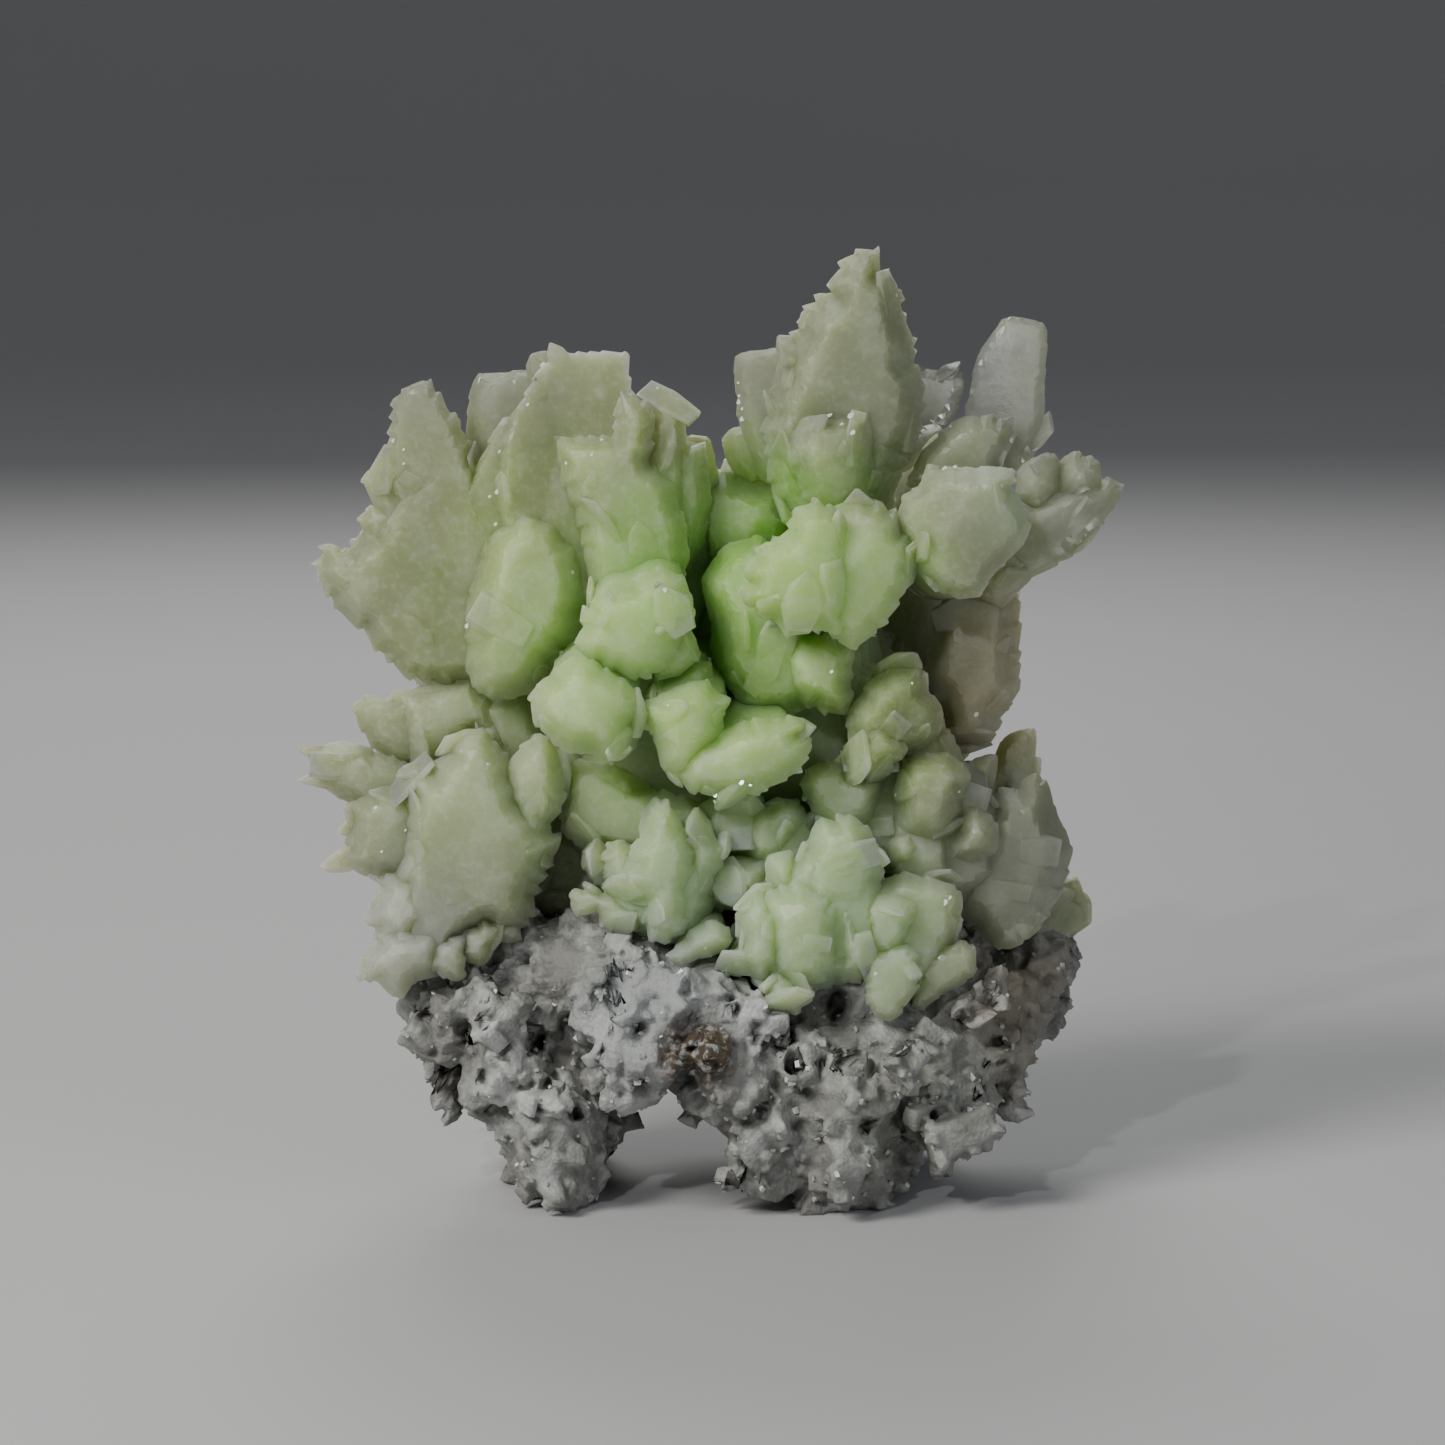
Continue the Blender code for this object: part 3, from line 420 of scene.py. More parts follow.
# %% Blades and knobs of the lower spray
BLADES_LOWER = {
    "body_of_cluster": (
        -6.4, -6.2, 5.0, 0.10, "806,850 860,838 884,890 888,970 850,984 815,992 775,994 735,962 745,912 770,888"
    ),
    "body_of_spike": (-5.4, -5.2, 4.8, 0.10, "622,852 650,835 700,832 724,860 712,915 700,945 650,942 604,915 604,875"),
    "body_of_low_right": (-5.6, -5.2, 4.4, 0.10, "862,885 905,872 955,884 963,925 950,958 932,995 895,1014 866,992"),
    "body_of_right_mound": (
        -1.4, -1.2, 5.2, 0.10, "852,738 884,690 936,704 962,756 996,805 1002,880 965,902 905,905 872,862 832,832 806,800"
    ),
    "broad_mass": (
        -3.6, -4.0, 7.4, 0.24, "477,723 487,732 495,740 505,752 515,775 530,800 553,832 558,836 559,848 557,858 "
        "550,868 545,878 540,890 534,897 538,905 539,912 536,918 528,925 518,931 508,936 498,942 485,930 470,940 "
        "463,950 455,962 440,967 425,965 400,960 393,940 392,900 395,860 398,820 402,785 406,768 418,764 436,764 "
        "445,752 452,745 460,736 468,729"
    ),
    "left_point": (
        -1.4, -1.0, 3.8, 0.08, "306,750 330,747 345,745 355,748 360,746 372,747 376,752 395,757 405,762 445,790 "
        "430,840 370,825 353,805 340,799 328,791 318,781 312,768"
    ),
    "upper_plate": (
        -3.0, -2.8, 4.4, 0.16, "353,805 349,812 351,818 348,825 349,832 346,840 345,851 338,860 343,866 358,873 "
        "375,877 405,880 440,850 420,795 380,785"
    ),
    "middle_plate": (
        -4.2, -4.0, 4.4, 0.16, "378,876 379,886 375,888 376,896 372,904 366,912 363,920 376,930 373,935 374,942 "
        "405,955 440,920 420,870"
    ),
    "lower_plate": (
        -5.4, -5.0, 4.0, 0.14, "374,940 368,948 362,957 359,965 357,976 360,980 370,982 378,983 385,990 392,995 "
        "400,1000 405,998 412,985 440,975 445,930 400,925"
    ),
    "low_leaf": (-5.8, -5.6, 2.2, 0.14, "466,963 467,968 465,978 458,982 450,982 440,976 425,965 440,940 465,935"),
    "low_petal": (-5.0, -4.8, 2.4, 0.14, "498,942 493,948 492,955 488,962 480,967 472,965 460,955 465,930 485,920 505,928"),
    "low_rim": (-4.0, -3.8, 2.2, 0.06, "522,940 512,944 500,943 485,935 500,920 520,922"),
    "side_lens": (
        -3.8, -4.2, 4.6, 0.10, "511,759 515,753 523,744 532,737 540,733 550,735 556,742 561,755 564,768 567,785 "
        "566,800 560,812 552,825 548,835 553,840 530,850 515,830 505,800 503,775"
    ),
    "shelf": (
        0.2, 0.0, 3.8, 0.10, "421,688 405,690 395,691 392,697 380,698 367,697 358,700 354,704 354,712 358,725 "
        "365,737 372,747 376,752 400,770 445,765 445,700"
    ),
    "second_shelf": (
        -0.8, -0.6, 4.0, 0.08, "394,697 395,691 405,690 421,688 440,684 470,680 490,700 510,740 508,757 490,745 "
        "477,735 455,752 440,765 432,768 410,765 400,740"
    ),
    "olive_gap": (1.0, 1.0, 5.0, 0.06, "455,690 530,690 550,735 560,800 512,800 480,745 450,715"),
    "right_mound": (
        -3.2, -3.0, 4.6, 0.10, "848,740 846,715 853,703 861,694 866,684 876,676 886,669 895,666 921,665 925,675 "
        "930,692 940,702 944,715 940,735 925,750 895,762 860,768"
    ),
    "bright_facet": (-5.2, -4.8, 3.2, 0.06, "858,737 872,727 888,725 895,733 905,742 909,750 904,758 885,768 862,780 848,758"),
    "square_leaf": (-3.4, -3.0, 4.2, 0.06, "800,785 806,770 820,762 845,762 852,772 885,775 885,790 880,805 873,822 850,840 820,830"),
    "round_lens": (
        -3.4, -3.8, 5.4, 0.10, "898,768 905,760 915,755 928,753 940,752 950,754 962,761 968,770 972,775 966,790 "
        "962,815 950,840 925,845 900,835 892,800"
    ),
    "thin_point": (0.8, 0.8, 2.8, 0.04, "965,768 975,758 990,754 998,755 998,765 995,785 985,805 960,805"),
    "grey_blade": (6.0, 6.0, 3.0, 0.04, "1000,742 1010,734 1020,730 1036,728 1037,740 1036,765 1035,795 1000,805 992,765"),
    "great_lens": (
        0.4, 0.8, 6.4, 0.16, "990,798 1000,788 1010,787 1018,790 1028,778 1036,772 1043,775 1050,788 1054,800 "
        "1058,815 1065,828 1070,840 1073,852 1070,868 1065,885 1058,900 1050,915 1040,927 1030,940 1010,950 "
        "1000,950 985,940 970,925 955,915 945,880 965,840"
    ),
    "olive_middle": (-1.6, -1.4, 5.4, 0.10, "878,800 930,800 962,830 965,880 950,900 905,900 885,885 876,840"),
    "small_square": (-6.0, -6.0, 3.2, 0.04, "765,865 768,855 780,852 790,850 794,853 797,862 803,885 795,900 770,895 766,880"),
    "pointed_plate": (
        -7.4, -7.0, 2.8, 0.16, "862,902 870,897 880,894 895,894 905,897 915,900 923,905 918,915 912,928 905,942 "
        "895,955 875,955 862,930"
    ),
    "green_lens": (
        -5.8, -5.4, 2.8, 0.14, "905,890 918,885 935,883 950,883 958,888 962,898 964,908 962,920 958,932 950,943 "
        "940,952 930,960 915,950 908,925"
    ),
    "low_finger": (
        -8.2, -7.6, 2.2, 0.16, "864,955 885,948 905,943 918,950 922,975 915,990 908,1005 900,1015 890,1022 "
        "880,1020 870,1010 865,995"
    ),
    "low_flag": (
        -6.6, -6.2, 1.9, 0.16, "918,960 940,950 955,942 968,942 975,948 978,965 973,978 955,988 935,1000 925,1010 "
        "912,1010 915,985"
    ),
    "olive_floor": (-2.4, -2.0, 4.6, 0.12, "560,830 563,790 566,758 600,760 640,785 700,800 725,815 720,850 640,860 600,850 575,845"),
    "round_lumps": (-3.2, -3.0, 4.4, 0.12, "735,840 742,818 760,805 785,798 800,800 810,820 808,835 800,845 795,870 750,870"),
    "olive_step": (-4.2, -4.0, 4.4, 0.10, "700,900 712,860 740,856 770,858 772,890 745,910 715,912"),
    "faint_leaf": (-3.4, -3.4, 3.0, 0.06, "582,866 582,850 588,843 605,841 615,860 612,890 595,885"),
    "small_leaf": (-5.4, -5.0, 2.4, 0.14, "602,853 608,843 618,841 628,843 634,850 636,880 622,900 608,890 603,870"),
    "grey_tooth": (
        -6.4, -6.2, 2.0, 0.14, "570,905 571,893 575,888 590,889 600,893 615,895 630,905 645,915 640,930 615,932 "
        "603,925 595,912 585,916 575,915"
    ),
}
KNOBS_LOWER = {
    "middle_knob": (
        (700, 660, 3.0), -6.4, -6.6, 4.6, 0.10, "642,702 659,695 681,685 696,681 708,679 712,687 723,695 732,699 "
        "730,705 722,718 726,732 716,748 700,770 681,781 670,777 661,766 657,751 652,736 643,717"
    ),
    "green_plate": ((690, 650, 4.0), -4.2, -4.0, 3.4, 0.06, "640,700 646,690 655,682 671,675 690,664 700,660 712,662 714,685 708,700 660,715"),
    "flat_knob": (
        (720, 700, 3.0), -6.8, -6.6, 4.6, 0.14, "690,745 721,732 740,721 766,718 794,717 805,719 806,728 797,735 "
        "811,739 809,758 794,775 777,785 764,793 747,795 732,801 715,796 690,792 676,778 680,760"
    ),
    "bright_cap": (
        (840, 880, 2.0), -6.2, -6.2, 5.0, 0.14, "798,862 801,855 805,847 810,840 811,830 814,820 818,817 824,818 "
        "836,819 838,813 850,815 858,819 864,824 870,830 874,836 878,843 881,852 883,862 885,870 883,880 880,888 "
        "880,900 860,930 820,930 795,900"
    ),
    "left_of_cluster": (
        (780, 870, 2.0), -7.6, -7.6, 4.4, 0.16, "735,915 741,902 753,890 762,888 775,900 790,930 785,965 765,985 "
        "745,975 722,980 715,970 730,955 742,940"
    ),
    "middle_of_cluster": (
        (800, 880, 2.0), -8.2, -8.0, 4.6, 0.16, "768,888 800,882 833,892 840,920 838,960 832,976 815,985 795,990 "
        "775,975 765,940 762,910"
    ),
    "right_of_cluster": (
        (840, 890, 2.0), -7.2, -7.0, 4.2, 0.14, "832,900 858,898 866,925 878,945 884,962 870,978 850,985 832,975"
    ),
    "pale_foot": ((790, 940, 0.0), -8.2, -8.2, 3.6, 0.14, "765,985 780,968 800,983 815,985 812,1002 795,1016 775,1014 766,1000"),
    "bright_spike": (
        (665, 860, 2.0), -7.4, -7.2, 4.8, 0.14, "632,845 636,838 645,832 648,822 651,812 655,810 661,811 667,807 "
        "673,811 678,816 684,824 690,835 697,850 693,880 692,895 688,915 685,935 665,945 650,940 642,920 640,905 "
        "620,897 615,885 622,870 631,858"
    ),
    "right_of_spike": (
        (690, 860, 2.0), -6.0, -5.8, 4.2, 0.12, "684,822 692,815 703,817 710,823 714,833 720,841 728,848 726,860 "
        "720,870 715,882 705,892 695,902 685,890 682,850"
    ),
    "low_round": ((700, 900, 1.0), -7.8, -7.6, 3.8, 0.12, "683,940 690,930 700,925 715,920 728,925 733,938 728,948 715,955 700,958 690,965 675,965 665,955"),
    "small_bud": ((965, 820, 3.0), -3.4, -3.4, 3.6, 0.10, "958,830 960,815 967,807 977,804 985,812 993,815 998,825 1000,840 995,855 980,862 965,862 952,858 950,845"),
    "least_bud": ((905, 830, 3.0), -3.4, -3.4, 3.0, 0.06, "888,845 893,835 903,829 915,832 922,842 922,858 912,868 900,868 890,860"),
}
SPRAYS = {
    "barite_upper_left": (BLADES_UPPER_LEFT, KNOBS_UPPER_LEFT, (*HEART[:1], *UPPER_LEFT)),
    "barite_upper_right": (BLADES_UPPER_RIGHT, KNOBS_UPPER_RIGHT, (*HEART[1:2], *UPPER_RIGHT)),
    "barite_lower": (BLADES_LOWER, KNOBS_LOWER, (*HEART[2:], *LOWER_LEFT, *LOWER_FRONT, *MIDDLE_RIGHT)),
}
print("Outlines:", sum(len(blades) + len(knobs) for blades, knobs, _ in SPRAYS.values()))

# %% [markdown]
# ## From the front view to space
# A point further away looks smaller and, as the view looks down, higher. `placed` undoes both, so a place that
# was read off the front view lands where the CAD model has it.


# %% Placing a point
def placed(points):
    """Points read off the front view as places in the part's frame, in millimetres."""
    across, depth, up = (np.array(points, float) - VIEW_CENTRE_READ).T
    away = 1 + (depth * math.cos(VIEW_TILT) - up * math.sin(VIEW_TILT)) / VIEW_DISTANCE
    height = (up * away - depth * math.sin(VIEW_TILT)) / math.cos(VIEW_TILT)
    return VIEW_CENTRE_SOLID + np.stack([across * away, depth, height], axis=-1) - CENTRE_OF_FOOTPRINT


print("The highest tip stands at", placed((10.2, -0.4, 62.0)).round(1))

# %% [markdown]
# ## One crystal
# Barite grows as flat, diamond-ended plates. A mesh for one is a stack of six-sided rings. The outline tables
# say how wide and thick the ring is at each share of the length. The solid model jumps from one row of its
# table to the next, while here the rows are joined by a smoothed line, so that the edges swing as grown ones do.

# %% Outlines of the crystals
FORMS = {
    "spear": ((0.0, 0.55, 0.60), (0.50, 1.00, 1.00), (1.0, 0.12, 0.20)),
    "flame": ((0.0, 0.60, 0.60), (0.42, 1.00, 1.00), (0.80, 0.68, 0.70), (1.0, 0.10, 0.16)),
    "chisel": ((0.0, 0.70, 0.80), (0.55, 1.00, 1.00), (1.0, 0.88, 0.42)),
    "lens": ((0.0, 0.50, 0.50), (0.45, 1.00, 1.00), (0.82, 0.76, 0.74), (1.0, 0.30, 0.34)),
    "bud": ((0.0, 0.60, 0.60), (0.58, 1.00, 1.00), (0.87, 0.80, 0.80), (1.0, 0.42, 0.42)),
    "stub": ((0.0, 0.60, 0.60), (0.76, 1.00, 1.00), (1.0, 0.72, 0.72)),
}
ROUND_FORMS = ("bud", "stub")
SAMPLES_ALONG = 101
SOFTENING = 17


def soft_outline(form):
    """The width and thickness of a form at a hundred even steps of its length, with the corners eased."""
    table = np.array(FORMS[form])
    shares = np.linspace(0, 1, SAMPLES_ALONG)
    window = np.hanning(SOFTENING + 2)[1:-1]
    window /= window.sum()
    eased = []
    for column in (1, 2):
        line = np.interp(shares, table[:, 0], table[:, column])
        padded = np.concatenate([2 * line[0] - line[SOFTENING:0:-1], line, 2 * line[-1] - line[-2:-SOFTENING - 2:-1]])
        eased.append(np.convolve(padded, window, "same")[SOFTENING:-SOFTENING])
    return shares, eased[0], eased[1]


OUTLINES = {form: soft_outline(form) for form in FORMS}


def reach(form, share):
    """How wide the form is at that share of its length."""
    shares, wide, _ = OUTLINES[form]
    return float(np.interp(share, shares, wide))


print("Outlines:", ", ".join(OUTLINES))


# %% A blade of rings
def unit_frame(root, tip, facing):
    """The crystal's own directions: along its length, across its width and across its thickness."""
    along = (tip - root).normalized()
    facing = Vector(facing)
    through = (facing - along * facing.dot(along)).normalized()
    return along, along.cross(through), through


RING_STEP = 0.28
SAW_PITCH = (0.7, 2.0)


def saw(rng, places, depth):
    """How far a saw-toothed edge stands out at those places along it: each tooth rises, then drops at once."""
    if depth == 0:
        return np.zeros(len(places))
    starts = [-rng.uniform(*SAW_PITCH)]
    while starts[-1] < places[-1]:
        starts.append(starts[-1] + rng.uniform(*SAW_PITCH))
    starts = np.array(starts)
    depths = np.array([depth * rng.uniform(0.15, 1.0) for _ in starts])
    tooth = np.searchsorted(starts, places, side="right") - 1
    after = np.minimum(tooth + 1, len(starts) - 1)
    rise = (places - starts[tooth]) / np.maximum(starts[after] - starts[tooth], SAW_PITCH[0])
    return depths[tooth] * (rise - 0.5)


def plate(rng, root, tip, width, thick, form, facing, slant=0.0, jag=0.0, flat=0.80):
    """One closed plate as points and faces: rings of six corners along it, with saw-toothed edges."""
    along, across, through = (np.array(v) for v in unit_frame(root, tip, facing))
    length = (tip - root).length
    rings = max(7, int(length / RING_STEP))
    stops = np.linspace(0, 1, rings)
    shares, wide, deep = OUTLINES[form]
    half = np.interp(stops, shares, wide) * width / 2
    calm = np.clip((1 - stops) * 6, 0.2, 1)
    right = half + saw(rng, stops * length, jag) * calm
    left = half + saw(rng, stops * length, jag) * calm
    height = np.interp(stops, shares, deep) * thick / 2
    points = np.empty((rings, 6, 3))
    corners = ((1, 0), (flat, 1), (-flat, 1), (-1, 0), (-flat, -1), (flat, -1))
    for k, (side, front) in enumerate(corners):
        side += rng.uniform(-0.06, 0.06)
        front += rng.uniform(-0.12, 0.12)
        lift = stops * length - side * slant * width * stops**4 / 2
        reach_out = side * (right if side > 0 else left)
        points[:, k] = np.outer(lift, along) + np.outer(reach_out, across) + np.outer(front * height, through)
    points += np.array(root)
    return points.reshape(-1, 3), ring_faces(rings, 6)


def ring_faces(rings, corners):
    """The faces of a closed stack of rings: its sides and its two ends."""
    lower = np.arange((rings - 1) * corners)
    after = lower // corners * corners + (lower + 1) % corners
    sides = np.stack([lower, after, after + corners, lower + corners], axis=1).tolist()
    first = list(range(corners))[::-1]
    last = list(range((rings - 1) * corners, rings * corners))
    return [*sides, first, last]


def joined(parts):
    """Many point and face lists as one."""
    points, faces, start = [], [], 0
    for some_points, some_faces in parts:
        points.append(some_points)
        faces.extend([start + k for k in face] for face in some_faces)
        start += len(some_points)
    return np.concatenate(points), faces


example = plate(random.Random(0), Vector(), Vector((0, 0, 12)), 4, 1, "lens", FRONT, jag=0.3)
print("A plate of 12 mm has", len(example[1]), "faces")

# %% [markdown]
# ## A mass from its outline
# A mass is a lens: two skins of small triangles that meet at its outline. A skin rises steeply from the edge and
# then runs under many flat faces, each tilted its own way, like the facets of a cut stone. At every place the
# lowest face counts, so that the faces meet in creases and leave no gaps. The edge gets the fine teeth that the
# rim of a bundle of plates has. A knob has a neck as well, which runs back to its root.

# %% Reading an outline
OUTLINE_STEP = 0.20
TOOTH_REACH = 2.9


def read_outline(text):
    """An outline as even steps in the front view, in millimetres, anticlockwise."""
    steps = np.array([[float(number) for number in pair.split(",")] for pair in text.split()])
    corners = np.column_stack([steps[:, 0] - FRAME_MIDDLE, FRAME_FOOT - steps[:, 1]]) * FRAME_STEP
    after = np.roll(corners, -1, axis=0)
    if (corners[:, 0] * after[:, 1] - after[:, 0] * corners[:, 1]).sum() < 0:
        corners = corners[::-1]
    closed = np.vstack([corners, corners[:1]])
    way = np.concatenate([[0.0], np.cumsum(np.linalg.norm(np.diff(closed, axis=0), axis=1))])
    places = np.arange(0, way[-1] - OUTLINE_STEP / 2, OUTLINE_STEP)
    return np.column_stack([np.interp(places, way, closed[:, k]) for k in (0, 1)])


def toothed(rng, line, depth):
    """The outline with saw teeth across its edge."""
    if depth == 0:
        return line
    ahead = np.roll(line, -2, axis=0) - np.roll(line, 2, axis=0)
    outward = np.column_stack([ahead[:, 1], -ahead[:, 0]]) / np.linalg.norm(ahead, axis=1, keepdims=True)
    teeth = saw(rng, np.arange(len(line)) * OUTLINE_STEP, depth * TOOTH_REACH)
    return line + outward * teeth[:, None]


def way_to_edge(places, line):
    """How far each place is from the outline."""
    ahead = np.roll(line, -1, axis=0) - line
    off = places[:, None] - line[None]
    share = np.clip((off * ahead).sum(axis=2) / (ahead**2).sum(axis=1), 0, 1)
    return np.linalg.norm(off - share[..., None] * ahead, axis=2).min(axis=1)


def are_inside(places, line):
    """Which places lie inside the outline: a level ray from such a place crosses it an odd number of times."""
    after = np.roll(line, -1, axis=0)
    across, up = places[:, :1], places[:, 1:]
    spanned = (line[:, 1] > up) != (after[:, 1] > up)
    rise = np.where(after[:, 1] == line[:, 1], 1.0, after[:, 1] - line[:, 1])
    crossing = line[:, 0] + (up - line[:, 1]) / rise * (after[:, 0] - line[:, 0])
    return (spanned & (across < crossing)).sum(axis=1) % 2 == 1


print("The leaf's outline has", len(read_outline(BLADES_UPPER_LEFT["leaf"][-1])), "steps")

# %% The flat faces of a skin
FACE_SIZE = 2.2
FACE_TILT = 0.10
FACE_FALL = 0.46
LEAST_FACES = 5


def dome(rng, line, half):
    """A function that says how far out a place on the skin stands: the lowest of many tilted flat faces."""
    centre = line.mean(axis=0)
    inverse_spread = np.linalg.inv(np.cov((line - centre).T))
    furthest = (((line - centre) @ inverse_spread) * (line - centre)).sum(axis=1).max()
    lowest, size = line.min(axis=0), np.ptp(line, axis=0)
    count = max(LEAST_FACES, round(size[0] * size[1] / FACE_SIZE**2))
    seeds = lowest + size * np.array([[rng.random(), rng.random()] for _ in range(count)])
    pull = (seeds - centre) @ inverse_spread / furthest
    levels = half * (1 - FACE_FALL * ((seeds - centre) * pull).sum(axis=1))
    tilts = np.array([[rng.gauss(0, FACE_TILT), rng.gauss(0, FACE_TILT)] for _ in range(count)])
    slopes = tilts - 2 * half * FACE_FALL * pull

    def stand(places):
        heights = levels + ((places[:, None] - seeds[None]) * slopes[None]).sum(axis=2)
        return heights.min(axis=1)

    return stand


print("Faces are about", FACE_SIZE, "mm wide")

# %% A lens and its neck
GRID_STEP = 0.32
EDGE_HALF = 0.05
BEVEL_RISE = 1.9
# How far a neck has come on its way to the root, and how large it still is there.
NECK = ((1.0, 0.55), (0.65, 0.72), (0.3, 0.84), (0.0, 0.86))
NECK_EASE = 9
NECK_THINNING = 3


def lens(rng, line, low, high, thick):
    """Two skins of triangles that meet at the outline, as points (across, depth, up) and faces."""
    lowest, highest = line.min(axis=0), line.max(axis=0)
    ways = [np.arange(lowest[k], highest[k], GRID_STEP) for k in (0, 1)]
    grid = np.stack(np.meshgrid(*ways), axis=-1).reshape(-1, 2)
    grid += np.array([[rng.uniform(-1, 1), rng.uniform(-1, 1)] for _ in grid]) * 0.3 * GRID_STEP
    grid = grid[are_inside(grid, line)]
    grid = grid[way_to_edge(grid, line) > 0.5 * GRID_STEP]
    corners = [Vector(place) for place in (*line, *grid)]
    corners, _, faces, *_ = delaunay_2d_cdt(corners, [], [list(range(len(line)))], 1, 1e-5)
    flat = np.array(corners)
    way_in = way_to_edge(flat, line)
    bevel = EDGE_HALF + way_in * BEVEL_RISE
    middle = np.interp(flat[:, 1], (lowest[1], highest[1]), (low, high))
    skins = []
    for side in (-1, 1):
        stand = np.clip(dome(rng, line, thick / 2)(flat), EDGE_HALF, bevel)
        skins.append(np.column_stack([flat[:, 0], middle + side * stand, flat[:, 1]]))
    count = len(flat)
    edges = {(face[k - 1], face[k]) for face in faces for k in range(3)}
    rim = sorted((a, b) for a, b in edges if (b, a) not in edges)
    band = [(b, a, a + count, b + count) for a, b in rim]
    back = [tuple(k + count for k in face[::-1]) for face in faces]
    return np.concatenate(skins), [*faces, *back, *band]


def neck(line, depth, root):
    """The tapered body that joins a knob to its root."""
    window = np.ones(NECK_EASE) / NECK_EASE
    wrapped = np.vstack([line[-NECK_EASE:], line, line[:NECK_EASE]])
    eased = np.column_stack([np.convolve(wrapped[:, k], window, "same") for k in (0, 1)])
    eased = eased[NECK_EASE:-NECK_EASE:NECK_THINNING]
    centre = eased.mean(axis=0)
    end = np.array([(root[0] - FRAME_MIDDLE) * FRAME_STEP, (FRAME_FOOT - root[1]) * FRAME_STEP])
    rings = []
    for share, size in NECK:
        flat = centre + (end - centre) * share + (eased - centre) * size
        rings.append(np.insert(flat, 1, depth + (root[2] - depth) * share, axis=1))
    return np.concatenate(rings), ring_faces(len(rings), len(eased))


def mass(rng, low, high, thick, tooth, text, root=None):
    """A blade or, with a root, a knob, as closed parts in the part's frame."""
    line = toothed(rng, read_outline(text), tooth)
    parts = [lens(rng, line, low, high, thick)]
    if root is not None:
        parts.append(neck(line, (low + high) / 2, root))
    return [(placed(points), faces) for points, faces in parts]


example = mass(random.Random(0), *BLADES_UPPER_LEFT["leaf"])
print("The leaf has", len(example[0][1]), "faces")

# %% [markdown]
# ## Bundles and rosettes
# What looks like one crystal is a bundle of thin plates, pressed together like the leaves of a closed book.
# Each ends a little before or beyond its neighbour, which gives the stepped, saw-toothed edges. Where a bundle
# points at the viewer it looks like a rosette, a stack of round plates with scalloped rims. Both are built
# here out of plates, so that the small steps come from the build and needn't be carved.

# %% A bundle of plates
PLATE_THICKNESS = 1.0
LEAST_LAYERS, MOST_LAYERS = 3, 7
RAGGEDNESS = {"spear": 0.26, "flame": 0.34, "chisel": 0.12, "lens": 0.34, "bud": 0.30, "stub": 0.14}


def bundle(rng, crystal, ragged):
    """One crystal as a stack of thin plates: the middle one is whole, the outer ones are narrower and shorter."""
    root, tip, width, thick, form, facing, slant = crystal
    along, across, through = unit_frame(root, tip, facing)
    length = (tip - root).length
    layers = min(max(round(thick / PLATE_THICKNESS), LEAST_LAYERS), MOST_LAYERS)
    plates = [plate(rng, root, tip, width, thick * 0.62, form, facing, slant, ragged, 0.62)]
    for k in range(layers):
        level = (2 * k + 1) / layers - 1
        narrow = math.sqrt(1 - 0.60 * level * level) * rng.uniform(0.93, 1.02)
        shift = through * (level * thick * 0.5 * (1 - 1 / layers))
        start = root + shift
        end = tip + shift * 0.85 + across * (rng.uniform(-1, 1) * ragged * 0.16 * width)
        end = end - along * (abs(level) * 0.06 * length + rng.uniform(0.0, 2.4) * ragged)
        leaf = plate(
            rng, start, end, width * narrow, thick / layers * 1.5, form, facing, slant, ragged * rng.uniform(0.4, 1.0)
        )
        plates.append(leaf)
    return plates


print("Raggedness of each form:", RAGGEDNESS)

# %% A rosette of discs
ROSETTE = ((0.56, 1.00), (0.68, 0.99), (0.79, 0.95), (0.89, 0.86), (0.96, 0.70))
STUB_ROSETTE = ((0.60, 0.98), (0.78, 1.00), (0.90, 0.97), (0.98, 0.90))
DISC_CORNERS = 96
SCALLOP_PITCH = (1.2, 2.1)


def scalloped_rim(rng, radius, hexagon, depth):
    """A disc's radius all round, as a share of its own: part hexagon, part circle, with scallops cut in."""
    angles = np.linspace(0, math.tau, DISC_CORNERS, endpoint=False)
    turned = (angles + rng.uniform(0, math.tau)) % (math.tau / 6) - math.tau / 12
    rim = (1 - hexagon) + hexagon * math.cos(math.tau / 12) / np.cos(turned) * 1.04
    count = max(4, round(math.tau * radius / rng.uniform(*SCALLOP_PITCH)))
    for turns, share in ((count, 0.7), (count // 2 + 1, 0.5)):
        wave = np.abs(np.cos(turns * angles / 2 * (1 if turns % 2 == 0 else 1) + rng.uniform(0, math.pi)))
        rim = rim - depth * share / radius * (1 - wave)
    return angles, rim


def disc(rng, centre, axis, across, half_wide, half_deep, thick, hexagon, depth):
    """A thick round plate with a scalloped rim, domed in front."""
    side = Vector(axis).cross(across)
    angles, rim = scalloped_rim(rng, (half_wide + half_deep) / 2, hexagon, depth)
    rings = ((-0.5, 0.90), (-0.12, 1.0), (0.14, 1.0), (0.42, 0.90), (0.50, 0.62), (0.56, 0.2))
    points = np.empty((len(rings), DISC_CORNERS, 3))
    for k, (rise, share) in enumerate(rings):
        flatten = share * (rim if share > 0.8 else 1 + (rim - 1) * 0.5)
        points[k] = np.outer(np.cos(angles) * flatten * half_wide, np.array(across))
        points[k] += np.outer(np.sin(angles) * flatten * half_deep, np.array(side))
        points[k] += np.array(centre + axis * (rise * thick))
    return points.reshape(-1, 3), ring_faces(len(rings), DISC_CORNERS)


